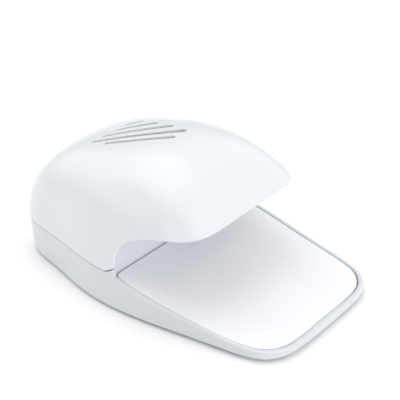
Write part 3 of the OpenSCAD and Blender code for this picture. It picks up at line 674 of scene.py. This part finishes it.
cuts += [prism("tmp", rrect(x - 3.3, 14.4, x + 3.3, 18.4, 0.5), flare + [(5.6, 0)]) for x in (-21, 21)]
cuts += [prism("tmp", rrect(-6, 51.0, 6, 55.3, 0.5), flare + [(FLOOR_Z + 0.2, 0)])]
cuts += [xbar(PIN_R - 0.05 + RUN_C, x - 5.3, x + 5.3, 16.6, FOOT_H + 1.5) for x in (-21, 21)]
cuts += [box(29.3, y, 17, 29.9, y + 4, 22) for y in (25.3, 40.7)]
cuts += [zc(x, y, -1, 30, 1.6) for x, y in POSTS]
cuts += [prism("tmp", circle(x, y, 2.9, 40), flare + [(6, 0)]) for x, y in POSTS]
cuts += [prism("tmp", circle(x, y, 4.6, 48), flare + [(FOOT_H + 0.6, 0)]) for x, y in FEET]
cuts += [zc(s * 15.3, 31, 18, 22, 0.95, 20) for s in (-1, 1)]
pl = half_w(-HINGE_Y, BASE_WALL) + 0.9
cuts += [xbar(PIN_R + RUN_C, -pl, pl, -HINGE_Y, HINGE_Z)]
csg(base, [("UNION", adds), ("DIFFERENCE", cuts)])
tidy(base)


# ---------------------------------------------------------------- press plate
def cap(b, poly, zf, step=2.5, up=True):
    """Fills a closed polygon with triangles that follow the height zf(x, y)."""
    P = [tuple(p) for p in poly]
    n = len(P)
    A = np.asarray(P)
    inn = inset(P, 0.9)
    xs = np.arange(A[:, 0].min() + 1, A[:, 0].max() - 1, step)
    ys = np.arange(A[:, 1].min() + 1, A[:, 1].max() - 1, step)
    pts = []
    for yy in ys:
        q = []
        for i in range(n):
            (x1, y1), (x2, y2) = inn[i], inn[(i + 1) % n]
            if (y1 > yy) != (y2 > yy):
                q.append(x1 + (yy - y1) * (x2 - x1) / (y2 - y1))
        q.sort()
        for x0, x1 in zip(q[::2], q[1::2]):
            pts += [(x, yy) for x in xs if x0 < x < x1]
    V = [Vector(p) for p in P] + [Vector(p) for p in pts]
    v, _, f, *_ = delaunay_2d_cdt(V, [], [list(range(n))], 1, 1e-6)
    for t in f:
        tri = [(v[i].x, v[i].y) for i in t]
        b.face([(P[i][0], P[i][1], zf(*P[i])) if i < n else (v[i].x, v[i].y, zf(v[i].x, v[i].y)) for i in t])


def gap(u):
    """The plate keeps further off the rim at its front corners."""
    return PLATE_GAP + CORNER_GAP * np.maximum(0, 1 - (np.abs(u - 8.05) / 1.6) ** 3) ** 1.5


def plate_outline():
    u = np.linspace(0, 10, 1201)
    h = outline(u, BASE_WALL + gap(u)[:, None])
    h = h[h[:, 1] < PLATE_REAR]
    # even spacing along the edge
    s = np.concatenate([[0], np.cumsum(np.linalg.norm(np.diff(h, axis=0), axis=1))])
    q = np.linspace(CORNER_R, s[-1], 110)
    h = np.stack([np.interp(q, s, h[:, 0]), np.interp(q, s, h[:, 1])], 1)
    h[-1, 0] = 0
    x0 = float(half_w(PLATE_REAR, BASE_WALL + PLATE_GAP))
    r = CORNER_R
    corner = [(x0 - r + r * math.cos(t), PLATE_REAR - r + r * math.sin(t)) for t in np.linspace(0.06, math.pi / 2, 12)][::-1]
    back = [(x, PLATE_REAR) for x in np.linspace(0, x0 - r, 30)[:-1]]
    right = back + corner + [tuple(p) for p in h]          # from the rear middle round to the front middle
    left = [(-x, y) for x, y in right[1:-1]][::-1]
    return (right + left)[::-1]                            # counter-clockwise


def make_plate():
    P = plate_outline()
    b = Build()
    rt, rb = 0.4, 0.35
    rings = []
    zt = lambda x, y: float(rim_z(min(y, 4.5)))
    for th in np.linspace(0, math.pi / 2, 6):
        q = inset(P, rt * (1 - math.sin(th)))
        rings.append([(x, y, zt(x, y) - PLATE_DROP - rt * (1 - math.cos(th))) for x, y in q])
    for th in np.linspace(0, math.pi / 2, 4):
        q = inset(P, rb * (1 - math.cos(th)))
        rings.append([(x, y, zt(x, y) - PLATE_T + rb * (1 - math.sin(th))) for x, y in q])
    b.grid(rings, wrap=True)
    cap(b, [(x, y) for x, y, _ in rings[0]], lambda x, y: zt(x, y) - PLATE_DROP)
    cap(b, [(x, y) for x, y, _ in rings[-1]], lambda x, y: zt(x, y) - PLATE_T, 4.0)
    return b.obj("finger_plate")


plate = make_plate()


def rib(x):
    ys = np.linspace(-50, -4, 24)
    rings = []
    for yy in ys:
        zt = float(rim_z(yy)) - PLATE_T + 0.4
        rings.append([(x - 0.7, yy, zt - 2.2), (x + 0.7, yy, zt - 2.2), (x + 0.7, yy, zt), (x - 0.7, yy, zt)])
    return loft("tmp", rings)


def cup(x):
    o = [(4.4, 12.8), (4.4, 14.2)]
    return turned("tmp", [(3.6, 12.8), (4.4, 12.8), (4.4, 14.2), (3.6, 14.2)], 40, "z", (x, -4, 0))


pw = half_w(-HINGE_Y, BASE_WALL)
parts = [rib(x) for x in (-14, 14)]
parts += [box(s * (pw - PLATE_GAP - 1.6) - 1.2, -HINGE_Y - 2, HINGE_Z - 1.2, s * (pw - PLATE_GAP - 1.6) + 1.2, -HINGE_Y + 2, HINGE_Z + 0.4) for s in (-1, 1)]
parts += [box(s * 40 - 0.8, -11, 7, s * 40 + 0.8, -6, float(rim_z(-11)) - PLATE_T + 0.4) for s in (-1, 1)]
parts += [box(40.8 - 0.2 if s > 0 else -44.4, -11, 7, 44.4 if s > 0 else -40.8 + 0.2, -6, 8.6) for s in (-1, 1)]
parts += [zc(0, -18, 10.45, 11.65, 2)]
parts += [xbar(PIN_R, s * (pw - 0.5) - 1.2, s * (pw - 0.5) + 1.2, -HINGE_Y, HINGE_Z) for s in (-1, 1)]
rings_ = []
for x in (-26, 26):
    outer = zc(x, -4, 12.8, 14.2, 4.4, 40)
    csg(outer, [("DIFFERENCE", [zc(x, -4, 11.8, 15.0, 3.6, 40)])])
    parts.append(outer)
csg(plate, [("UNION", parts)])
tidy(plate)


# ---------------------------------------------------------------- outlet panel
def make_panel():
    ym = WALL_Y + 0.9
    wb = half_w(ym, BASE_WALL) - 0.3
    top = []
    for i in range(1, 90):
        a = math.pi * i / 90
        lo, hi = 0.0, 8.0
        for _ in range(40):
            m = (lo + hi) / 2
            p = hs(np.array(m), np.array(a)) - (HOOD_WALL + 0.4) * hn(np.array(m), np.array(a))
            if p[1] > ym:
                lo = m
            else:
                hi = m
        top.append((float(p[0]), float(p[2])))
    poly = [(-wb, FLOOR_Z + 0.1), (wb, FLOOR_Z + 0.1), (wb, SEAM_Z)] + top + [(-wb, SEAM_Z)]
    rings = []
    e = 0.3
    for th in np.linspace(0, math.pi / 2, 4):
        q = inset(poly, e * (1 - math.sin(th)))
        rings.append([(x, WALL_Y + e * (1 - math.cos(th)), z) for x, z in q])
    rings.append([(x, WALL_Y + 1.8, z) for x, z in poly])
    return loft("outlet_wall", rings)


def stadium(cx, cz, l, r, n=10):
    pts = []
    for sx, a0 in ((1, -90), (-1, 90)):
        for k in range(n + 1):
            a = math.radians(a0 + 180 * k / n)
            pts.append((cx + sx * l + r * math.cos(a), cz + r * math.sin(a)))
    return pts


def panel_slot(k):
    z = k * GRILLE_PITCH
    l = math.sqrt(GRILLE_R ** 2 - z * z) - GRILLE_H / 2
    poly = stadium(0, FAN_Z + z, l, GRILLE_H / 2)
    r = 0.5
    rings = [[(x, WALL_Y - 2, zz) for x, zz in inset(poly, -r - 0.3)]]
    for t in (0.25, 0.6, 1.0, math.pi / 2):
        rings.append([(x, WALL_Y + r * (1 - math.cos(t)) * 0 + r * math.sin(t) - 0.02, zz) for x, zz in inset(poly, -r * (1 - math.sin(t)) - 0.02 * (t < 0.5))])
    rings.append([(x, WALL_Y + 4, zz) for x, zz in poly])
    return loft("tmp", rings)


def ybar(r, y0, y1, x, z, n=32):
    return turned("tmp", [(r, y0), (r, y1)], n, "y", (x, 0, z))


panel = make_panel()
csg(panel, [("UNION", [ybar(2.4, WALL_Y + 1.4, 11, x, z) for x, z in EARS]),
            ("DIFFERENCE", [panel_slot(k) for k in range(-3, 4)]
             + [ybar(0.85, WALL_Y + 1, 12, x, z, 20) for x, z in EARS]
             + [box(s * 31 - 2.5, WALL_Y - 1, -1, s * 31 + 2.5, WALL_Y + 3, 9.5, 0.8) for s in (-1, 1)])])
tidy(panel)


# ---------------------------------------------------------------- fan, seen through the grille
def blade(i0, n=22, m=8):
    def lerp(a, b, t):
        return a + (b - a) * t
    P = []
    for i in range(n + 1):
        t = i / n
        r = lerp(5.8, BLADE_R, t)
        bb = math.radians(BLADE_PITCH * lerp(1, 0.52, t))
        ch = lerp(5.2, 10.5, math.sin(math.pi / 2 * min(1, t * 1.15))) / 2
        sec = []
        for side in (1, -1):
            for k in range(m + 1):
                f = -1 + 2 * k / m if side > 0 else 1 - 2 * k / m
                x = f * ch
                up = 0.55 * (1 - f * f)
                th = 0.4 * (1 - 0.75 * abs(f) ** 4)
                q = x / r * math.cos(bb)
                sec.append((r * math.sin(q), r * math.cos(q), x * math.sin(bb) + up + side * th))
        P.append(sec)
    ang = math.radians(360 * i0 / BLADES)
    ca, sa = math.cos(ang), math.sin(ang)
    out = []
    for sec in P:
        ring = []
        for x, y, z in sec:
            X, Y = x * ca - y * sa, x * sa + y * ca
            ring.append((X, 13 - z, FAN_Z + Y))
        out.append(ring)
    return loft("tmp", out)


def y_turned(name, prof, x, z, n=56):
    return turned(name, prof, n, "y", (x, 0, z))


fan = y_turned("fan_wheel", [(0.01, 9.7), (4.2, 9.7), (4.9, 9.85), (5.4, 10.2), (6.6, 10.9), (6.6, 16)], 0, FAN_Z)
csg(fan, [("UNION", [blade(i) for i in range(BLADES)]), ("DIFFERENCE", [ybar(SHAFT_R, 11, 22, 0, FAN_Z, 28)])])
tidy(fan, 40)

shroud = y_turned("fan_ring", [(22.2 - 0.3, WALL_Y + 1.9), (22.2, WALL_Y + 2.2), (22.2, 17.6), (21.8, 18)], 0, FAN_Z, 96)
csg(shroud, [("UNION", [ybar(2.6, 11, 12.4, x, z) for x, z in EARS]),
             ("UNION", [box(19.5 if x > 0 else -22.4, 11, z - 1.6, 22.4 if x > 0 else -19.5, 12.4, z + 1.6) for x, z in EARS]),
             ("DIFFERENCE", [ybar(BLADE_R + 1.1, WALL_Y, 20, 0, FAN_Z, 96)] + [ybar(1.15, 10, 14, x, z, 20) for x, z in EARS])])
tidy(shroud)


# ---------------------------------------------------------------- battery door, feet, screws
ZB = FOOT_H + 0.1


def make_door():
    d = prism("cell_door", rrect(-31, 18.5, 31, 51.5, 0.8), soft_levels(ZB, ZB + 1.5, 0.35, 0.15))
    adds = []
    for x in (-21, 21):
        adds.append(box(x - 3, 16.6, ZB + 0.2, x + 3, 19.0, ZB + 1.5))
        adds.append(xbar(PIN_R - 0.05, x - 4.3, x + 4.3, 16.6, FOOT_H + 1.5))
        adds.append(xbar(1.2, x - 3, x + 3, 16.6, FOOT_H + 1.5, 32))
    adds.append(prism("tmp", rrect(-5, 50.8, 5, 54.5, 0.8), soft_levels(ZB, ZB + 1.5, 0.3, 0.1)))
    adds.append(box(-5, 52.8, ZB + 1.2, 5, 53.9, ZB + 4.8))
    adds += [box(x - 3, y - 4, ZB + 1.3, x + 3, y + 4, ZB + 1.8) for y in (27.3, 42.7) for x in (-12, 12)]
    cuts = [xbar(0.35, -7, 7, 47.5 - 1.8 * k, ZB) for k in range(4)]
    return tidy(csg(d, [("UNION", adds), ("DIFFERENCE", cuts)]))


door = make_door()


def foot(x, y):
    r, h = 4.5, FOOT_H + 0.55
    prof = [(0.01, 0.05), (1.2, 0.05), (1.5, 0.0)] + [(r - 0.5 + 0.5 * math.sin(t), 0.5 - 0.5 * math.cos(t)) for t in np.linspace(0, math.pi / 2, 6)]
    prof += [(r, h), (0.01, h)]
    return turned("tmp", prof, 56, "z", (x, y, 0))


feet = tidy(merge("feet_pads", [foot(x, y) for x, y in FEET]))


def screw(x, y):
    prof = [(0.01, 4.0), (1.9, 4.0)] + [(2.3 + 0.4 * math.sin(t), 4.4 - 0.4 * math.cos(t)) for t in np.linspace(0, math.pi / 2, 5)]
    prof += [(2.7, 6.0), (1.15, 6.0)]
    z = 6.6
    while z < 24.6:
        prof += [(1.15, z), (1.4, z + 0.28), (1.15, z + 0.56)]
        z += 0.9
    prof += [(1.15, 25.0), (0.3, 26.0), (0.01, 26.0)]
    s = turned("tmp", prof, 28, "z", (x, y, 0))
    cross = [box(x - 1.4, y - 0.35, 3.0, x + 1.4, y + 0.35, 5.0), box(x - 0.35, y - 1.4, 3.0, x + 0.35, y + 1.4, 5.0)]
    return csg(s, [("DIFFERENCE", cross)])


screws = tidy(merge("case_screws", [screw(x, y) for x, y in POSTS]))


# ---------------------------------------------------------------- cells, contacts, springs, leads
def cell(name, y, d):
    x0 = -21.0 if d > 0 else 21.0
    R = CELL_R
    prof = [(0.01, 0.0), (5.2, 0.0), (5.6, 0.25), (R - 0.55, 0.25), (R - 0.15, 0.4), (R, 0.8), (R, 46.6), (R - 0.2, 47.1),
            (R - 0.25, 47.5), (R, 47.9), (R - 0.1, 48.4), (R - 0.6, 48.8), (3.6, 48.8), (3.4, 48.55), (2.75, 48.55), (2.7, 48.9), (2.7, 49.9), (2.45, 50.2), (0.01, 50.2)]
    prof = [(r, x0 + d * h) for r, h in prof]
    return tidy(turned(name, prof, 72, "x", (0, y, 10.4)), 30)


cell_a = cell("cell_front", 35 - CELL_PITCH / 2, 1)
cell_b = cell("cell_rear", 35 + CELL_PITCH / 2, -1)


def cone_path(x0, x1, ra, rb, turns, y):
    t = np.linspace(0, 1, turns * 36 + 1)
    a = 2 * math.pi * turns * t
    r = ra + (rb - ra) * t
    return np.stack([x0 + (x1 - x0) * t, y + r * np.cos(a), 10.4 + r * np.sin(a)], 1)


def tab(x, y, tail, w=6.0):
    p = prism("tmp", [(-w, 4.4), (w, 4.4), (w, 16.4), (-w, 16.4)], [(x - 0.2, 0), (x + 0.2, 0)])
    for v in p.data.vertices:
        X, Y, Z = v.co
        v.co = (Z, X + y * MM, Y)
    out = [p]
    if tail:
        out.append(box(x - 0.2, y - 1.5, 16, x + 0.2, y + 1.5, 22.6))
    return out


YF, YR = 35 - CELL_PITCH / 2, 35 + CELL_PITCH / 2
con_p = tidy(merge("tab_positive", tab(29.6, YF, True)), 30)
con_n = tidy(merge("tab_negative", tab(29.6, YR, True) + [tube("tmp", cone_path(29.3, 29.2 - (58.4 - CELL_LEN) + 0.7, 4.6, 2.6, 4, YR), 0.35)]), 50)
con_j = tidy(merge("tab_bridge", tab(-29.6, 35, False, CELL_PITCH / 2 + 6) + [tube("tmp", cone_path(-29.3, -29.2 + (58.4 - CELL_LEN) - 0.7, 4.6, 2.6, 4, YF), 0.35)]), 50)


def coil(name, x):
    z0, z1, r = FLOOR_Z + 0.4, float(rim_z(-4)) - PLATE_T - 0.6, 2.9
    t = np.linspace(0, 1, 5 * 40 + 1)
    a = 2 * math.pi * 5 * t
    return tidy(tube(name, np.stack([x + r * np.cos(a), -4 + r * np.sin(a), z0 + (z1 - z0) * t], 1), 0.32), 60)


coil_l, coil_r = coil("coil_left", -26), coil("coil_right", 26)

LEAD_A = [[29.6, 27.3, 23.2], [31, 22, 22.6], [31, 16, 20], [31, 13, 12], [31, 10.5, 6.2], [31, 5, 4.6], [31, -7, 4.4], [20, -15, 4.4], [9.3, -18, 4.5]]
LEAD_B = [[-9.3, -18, 4.5], [-20, -15, 4.4], [-31, -7, 4.4], [-31, 5, 4.6], [-31, 10.5, 6.2], [-31, 13, 12], [-31, 16, 20], [-29, 26, 26], [-21, 39, 33], [-12, 48, 38], [-6.5, 48.6, 39.8], [-6.5, 46.9, 40]]
LEAD_C = [[29.6, 42.7, 23.2], [27, 46, 27], [18, 50, 35], [9, 49.5, 39.4], [6.5, 46.9, 40]]


def lead(name, P):
    return tidy(tube(name, bs(pade(P), np.linspace(0, len(P) - 1, 12 * (len(P) - 1) + 1)), 0.7, 14), 60)


wire_a, wire_b, wire_c = lead("wire_cell_switch", LEAD_A), lead("wire_switch_fan", LEAD_B), lead("wire_cell_fan", LEAD_C)


# ---------------------------------------------------------------- materials
def nodes_of(name):
    m = bpy.data.materials.new(name)
    m.use_nodes = True
    nt = m.node_tree
    return m, nt, nt.nodes["Principled BSDF"]


def noise(nt, scale, detail=3.0, rough=0.55, stretch=(1, 1, 1), seed=(0, 0, 0)):
    tc = nt.nodes.new("ShaderNodeTexCoord")
    mp = nt.nodes.new("ShaderNodeMapping")
    mp.inputs["Scale"].default_value = stretch
    mp.inputs["Location"].default_value = seed
    nz = nt.nodes.new("ShaderNodeTexNoise")
    nz.inputs["Scale"].default_value = scale
    nz.inputs["Detail"].default_value = detail
    nz.inputs["Roughness"].default_value = rough
    nt.links.new(tc.outputs["Object"], mp.inputs["Vector"])
    nt.links.new(mp.outputs["Vector"], nz.inputs["Vector"])
    return nz.outputs["Fac"]


def ramp(nt, fac, stops):
    r = nt.nodes.new("ShaderNodeValToRGB")
    el = r.color_ramp.elements
    while len(el) > 1:
        el.remove(el[-1])
    el[0].position, el[0].color = stops[0][0], (*stops[0][1], 1)
    for pos, col in stops[1:]:
        e = el.new(pos)
        e.color = (*col, 1)
    nt.links.new(fac, r.inputs["Fac"])
    return r.outputs["Color"]


def remap(nt, fac, a, b, lo=0.3, hi=0.7):
    m = nt.nodes.new("ShaderNodeMapRange")
    m.inputs["From Min"].default_value, m.inputs["From Max"].default_value = lo, hi
    m.inputs["To Min"].default_value, m.inputs["To Max"].default_value = a, b
    nt.links.new(fac, m.inputs["Value"])
    return m.outputs["Result"]


def bump(nt, bsdf, height, strength, dist):
    b = nt.nodes.new("ShaderNodeBump")
    b.inputs["Strength"].default_value = strength
    b.inputs["Distance"].default_value = dist
    nt.links.new(height, b.inputs["Height"])
    nt.links.new(b.outputs["Normal"], bsdf.inputs["Normal"])
    return b


def tint(c, k):
    return tuple(min(1, x * k) for x in c)


def plastic(name, col, r0, r1, fine=2600, fine_s=0.12, mottle=0.012, coat=0.0, coat_r=0.15, soft=0.0):
    """Moulded plastic: faint cloudiness, uneven gloss and a very fine skin texture."""
    m, nt, p = nodes_of(name)
    big = noise(nt, 32, 2.0, 0.5)
    nt.links.new(ramp(nt, big, [(0.3, tint(col, 1 - mottle)), (0.5, col), (0.7, tint(col, 1 + mottle))]), p.inputs["Base Color"])
    nt.links.new(remap(nt, noise(nt, 95, 3.0, 0.6, seed=(3, 1, 2)), r0, r1), p.inputs["Roughness"])
    bump(nt, p, noise(nt, fine, 2.0, 0.5), fine_s, 0.00003)
    p.inputs["Coat Weight"].default_value = coat
    p.inputs["Coat Roughness"].default_value = coat_r
    p.inputs["IOR"].default_value = 1.5
    p.inputs["Subsurface Weight"].default_value = soft
    p.inputs["Subsurface Scale"].default_value = 0.0016
    p.inputs["Subsurface Radius"].default_value = (1.0, 1.0, 1.0)
    return m


def metal(name, col, r0, r1, stretch=(1, 1, 1), scale=900, s=0.15, dark=0.12):
    m, nt, p = nodes_of(name)
    f = noise(nt, scale, 4.0, 0.6, stretch)
    nt.links.new(ramp(nt, f, [(0.25, tint(col, 1 - dark)), (0.75, tint(col, 1 + dark * 0.5))]), p.inputs["Base Color"])
    nt.links.new(remap(nt, noise(nt, scale * 0.3, 3.0, 0.6, stretch), r0, r1), p.inputs["Roughness"])
    bump(nt, p, f, s, 0.00002)
    p.inputs["Metallic"].default_value = 1.0
    return m


WHITE = (0.75, 0.767, 0.80)
M = {}
M["white_shell"] = plastic("shell_white", WHITE, 0.28, 0.34, coat=0.4, coat_r=0.23, soft=0.25)
# Painted shade: a darker copy of the shell's white for the base, standing in for the shade on the base's walls; the
# real base is the same white plastic as the hood.
M["white_base"] = plastic("base_white_painted_shade", (0.69, 0.705, 0.735), 0.32, 0.39, coat=0.2, coat_r=0.22, soft=0.3)
M["white_plate"] = plastic("plate_white", (0.89, 0.893, 0.922), 0.36, 0.43, fine=3200, fine_s=0.2)
M["white_panel"] = plastic("panel_white", (0.76, 0.775, 0.81), 0.42, 0.5)
M["fan_white"] = plastic("fan_offwhite", (0.72, 0.73, 0.74), 0.4, 0.5, fine_s=0.2)
M["grey_plastic"] = plastic("grey_moulded", (0.45, 0.46, 0.48), 0.5, 0.6, fine_s=0.3, mottle=0.03)
M["ivory_plastic"] = plastic("ivory_moulded", (0.78, 0.73, 0.60), 0.45, 0.55, fine_s=0.25, mottle=0.02)
M["black_plastic"] = plastic("black_moulded", (0.03, 0.03, 0.033), 0.42, 0.52, fine_s=0.3, mottle=0.1)
M["red_plastic"] = plastic("red_moulded", (0.5, 0.04, 0.03), 0.35, 0.45, fine_s=0.2, mottle=0.04)
M["lead_red"] = plastic("insulation_red", (0.55, 0.03, 0.03), 0.4, 0.5, fine=1800, fine_s=0.25, mottle=0.05)
M["lead_black"] = plastic("insulation_black", (0.02, 0.02, 0.022), 0.4, 0.5, fine=1800, fine_s=0.25, mottle=0.1)
M["rubber_foot"] = plastic("rubber_pale", (0.62, 0.63, 0.64), 0.75, 0.88, fine=1500, fine_s=0.5, mottle=0.03)
M["steel"] = metal("plated_steel", (0.62, 0.63, 0.65), 0.22, 0.36)
M["motor_can"] = metal("drawn_can", (0.58, 0.59, 0.61), 0.25, 0.4, stretch=(1, 0.06, 1), scale=1400)
M["brass"] = metal("tinned_brass", (0.70, 0.56, 0.28), 0.28, 0.42)


def laminated():
    m, nt, p = nodes_of("iron_stack")
    tc = nt.nodes.new("ShaderNodeTexCoord")
    w = nt.nodes.new("ShaderNodeTexWave")
    w.bands_direction = "Y"
    w.inputs["Scale"].default_value = 320
    w.inputs["Distortion"].default_value = 0.4
    nt.links.new(tc.outputs["Object"], w.inputs["Vector"])
    nt.links.new(ramp(nt, w.outputs["Fac"], [(0.2, (0.10, 0.10, 0.105)), (0.8, (0.26, 0.26, 0.27))]), p.inputs["Base Color"])
    nt.links.new(remap(nt, noise(nt, 700), 0.4, 0.6), p.inputs["Roughness"])
    bump(nt, p, w.outputs["Fac"], 0.4, 0.00005)
    p.inputs["Metallic"].default_value = 0.8
    return m


def wound():
    m, nt, p = nodes_of("enamelled_wire")
    tc = nt.nodes.new("ShaderNodeTexCoord")
    mp = nt.nodes.new("ShaderNodeMapping")
    mp.inputs["Location"].default_value = (0, 0, -FAN_Z * MM)
    w = nt.nodes.new("ShaderNodeTexWave")
    w.wave_type = "RINGS"
    w.rings_direction = "Y"
    w.inputs["Scale"].default_value = 900
    w.inputs["Distortion"].default_value = 0.6
    nt.links.new(tc.outputs["Object"], mp.inputs["Vector"])
    nt.links.new(mp.outputs["Vector"], w.inputs["Vector"])
    nt.links.new(ramp(nt, w.outputs["Fac"], [(0.15, (0.16, 0.05, 0.02)), (0.7, (0.62, 0.26, 0.11))]), p.inputs["Base Color"])
    nt.links.new(remap(nt, noise(nt, 900), 0.22, 0.36), p.inputs["Roughness"])
    bump(nt, p, w.outputs["Fac"], 0.6, 0.00008)
    p.inputs["Metallic"].default_value = 0.9
    return m


def ferrite():
    m, nt, p = nodes_of("dull_ferrite")
    f = noise(nt, 1500, 5.0, 0.7)
    nt.links.new(ramp(nt, f, [(0.3, (0.035, 0.035, 0.038)), (0.7, (0.10, 0.10, 0.105))]), p.inputs["Base Color"])
    nt.links.new(remap(nt, f, 0.6, 0.8), p.inputs["Roughness"])
    bump(nt, p, f, 0.5, 0.00005)
    return m


def jacket(name, x_tip, d):
    """Cell: a dark film jacket with a plain metal end, blank all over."""
    m, nt, p = nodes_of(name)
    tc = nt.nodes.new("ShaderNodeTexCoord")
    sp = nt.nodes.new("ShaderNodeSeparateXYZ")
    nt.links.new(tc.outputs["Object"], sp.inputs["Vector"])
    far = nt.nodes.new("ShaderNodeMapRange")
    # 0 at the flat end, 1 at the button's tip
    far.inputs["From Min"].default_value = (x_tip - d * CELL_LEN) * MM
    far.inputs["From Max"].default_value = x_tip * MM
    nt.links.new(sp.outputs["X"], far.inputs["Value"])
    film, band, steel = (0.035, 0.038, 0.045), (0.50, 0.30, 0.13), (0.62, 0.63, 0.65)
    col = ramp(nt, far.outputs["Result"], [(0.0, steel), (0.0115, steel), (0.0125, film), (0.72, film), (0.722, band), (0.962, band), (0.964, steel), (1.0, steel)])
    mix = nt.nodes.new("ShaderNodeMix")
    mix.data_type = "RGBA"
    mix.blend_type = "MULTIPLY"
    mix.inputs["Factor"].default_value = 0.25
    nt.links.new(col, mix.inputs[6])
    nt.links.new(ramp(nt, noise(nt, 260, 3), [(0.3, (0.75, 0.75, 0.75)), (0.7, (1, 1, 1))]), mix.inputs[7])
    nt.links.new(mix.outputs[2], p.inputs["Base Color"])
    met = ramp(nt, far.outputs["Result"], [(0.0, (1, 1, 1)), (0.0115, (1, 1, 1)), (0.0125, (0.1,) * 3), (0.72, (0.1,) * 3), (0.722, (0.6,) * 3), (0.962, (0.6,) * 3), (0.964, (1, 1, 1)), (1.0, (1, 1, 1))])
    nt.links.new(met, p.inputs["Metallic"])
    nt.links.new(remap(nt, noise(nt, 420, 3), 0.24, 0.36), p.inputs["Roughness"])
    return m


M["lamination"] = laminated()
M["copper"] = wound()
M["magnet"] = ferrite()
M["cell_jacket"] = jacket("cell_film_a", 29.2, 1)
M["cell_jacket_b"] = jacket("cell_film_b", -29.2, -1)

NODE_SLOT = {s["node"]: s["material_slot"] for s in frame["record"]["subparts"]}


def dress(ob, mat):
    ob.data.materials.clear()
    ob.data.materials.append(mat)


for name, ob in frame["nodes"].items():
    mat = M[NODE_SLOT[name]]
    for s in ob.material_slots:
        s.material = mat
    if not ob.material_slots:
        ob.data.materials.append(mat)

PIECES = [
    (hood, "hood_shell", "housing", "white_shell"), (base, "base_shell", "housing", "white_shell"),
    (plate, "press_plate", "press_plate", "white_plate"), (panel, "outlet_panel", "housing", "white_panel"),
    (fan, "impeller", "fan_rotor", "fan_white"), (shroud, "fan_shroud", "housing", "grey_plastic"),
    (door, "battery_door", "battery_door", "white_shell"), (feet, "rubber_feet", "housing", "rubber_foot"),
    (screws, "housing_screws", "housing", "steel"), (cell_a, "battery_cell_front", "housing", "cell_jacket"),
    (cell_b, "battery_cell_rear", "housing", "cell_jacket"), (con_p, "contact_positive", "housing", "steel"),
    (con_n, "contact_negative", "housing", "steel"), (con_j, "contact_jumper", "housing", "steel"),
    (coil_l, "plate_spring_left", "housing", "steel"), (coil_r, "plate_spring_right", "housing", "steel"),
    (wire_a, "lead_battery_to_switch", "housing", "lead_red"), (wire_b, "lead_switch_to_motor", "housing", "lead_red"),
    (wire_c, "lead_battery_to_motor", "housing", "lead_black"),
]
for ob, node, body, slot in PIECES:
    # The base gets the darker copy of the shell white: painted shade on its walls, not a different plastic.
    dress(ob, M["cell_jacket_b"] if ob is cell_b else M["white_base"] if ob is base else M[slot])
    if ob in (coil_l, coil_r):
        # a spring: baked in place at rest in world space and not attached to any body
        x = -26 if ob is coil_l else 26
        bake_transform(ob)
    else:
        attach(ob, body)
    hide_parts(node)

# ---------------------------------------------------------------- stage
floor = Build()
floor.face([(-4000, -4000, 0), (4000, -4000, 0), (4000, 4000, 0), (-4000, 4000, 0)])
floor = floor.obj("floor", fix=False)
fm, fnt, fp = nodes_of("floor_pale")
fnt.links.new(ramp(fnt, noise(fnt, 3, 2), [(0.3, (0.945, 0.945, 0.945)), (0.7, (0.955, 0.955, 0.955))]), fp.inputs["Base Color"])
fp.inputs["Roughness"].default_value = 0.9
fp.inputs["Specular IOR Level"].default_value = 0.1
dress(floor, fm)

w = bpy.data.worlds.new("studio")
SCN.world = w
w.use_nodes = True
bg = w.node_tree.nodes["Background"]
bg.inputs["Color"].default_value = (0.97, 0.985, 1.0, 1)
bg.inputs["Strength"].default_value = 0.5


def area(name, at, to, size, power, col=(1, 1, 1)):
    l = bpy.data.lights.new(name, "AREA")
    l.shape, l.size, l.size_y = "RECTANGLE", size[0], size[1]
    l.energy, l.color = power, col
    o = bpy.data.objects.new(name, l)
    SCN.collection.objects.link(o)
    o.location = Vector(at)
    o.rotation_euler = (Vector(to) - Vector(at)).to_track_quat("-Z", "Y").to_euler()
    return o


area("top", (0.05, 0.40, 1.0), (0, 0, 0.03), (1.0, 1.0), 3.94)
area("zenith", (0.0, 0.0, 1.2), (0, 0, 0.03), (1.4, 1.4), 2.0)
area("top_front", (0.0, -1.0, 1.1), (0, 0, 0.03), (0.8, 0.8), 2.25)
area("top_front_right", (0.6, -0.6, 1.0), (0, 0, 0.03), (0.8, 0.8), 0.4)
area("front_low", (0.1, -1.25, 0.35), (0, 0, 0.03), (0.9, 0.5), 4.5)
area("front_right", (0.75, -0.95, 0.55), (0, 0, 0.03), (0.9, 0.7), 0.5)
area("top_right", (0.8, 0.2, 0.9), (0, 0, 0.03), (0.8, 0.8), 0.76)
area("right", (1.15, 0.0, 0.55), (0, 0, 0.03), (0.8, 0.6), 0.64)
area("right_low", (1.1, -0.5, 0.3), (0, 0, 0.03), (0.7, 0.4), 0.55)
area("left", (-1.1, -0.3, 0.6), (0, 0, 0.03), (0.8, 0.6), 1.57)
area("rear", (-0.1, 1.15, 0.6), (0, 0, 0.03), (0.9, 0.6), 1.5)
area("rear_high", (0.0, 0.9, 1.0), (0, 0, 0.03), (0.9, 0.9), 0.66)
area("rear_left", (-0.8, 0.8, 0.6), (0, 0, 0.03), (0.8, 0.6), 1.07)

cam_data = bpy.data.cameras.new("camera")
cam = bpy.data.objects.new("camera", cam_data)
SCN.collection.objects.link(cam)
AZ, EL, F_PX = math.radians(-51.51), math.radians(29.41), 1119.9
right = Vector((math.cos(AZ), math.sin(AZ), 0))
back = Vector((math.sin(AZ) * math.cos(EL), -math.cos(AZ) * math.cos(EL), math.sin(EL)))
upv = back.cross(right)
mw = Matrix((right, upv, back)).transposed().to_4x4()
mw.translation = Vector((-352.51, -287.52, 293.11)) * MM
cam.matrix_world = mw
cam_data.sensor_fit = "HORIZONTAL"
cam_data.sensor_width = 36.0
cam_data.lens = F_PX / 400 * 36
cam_data.clip_start, cam_data.clip_end = 0.01, 20
SCN.camera = cam
SCN.view_settings.view_transform = "Standard"
SCN.view_settings.look = "None"
SCN.view_settings.exposure = 0.0
SCN.view_settings.gamma = 1.0
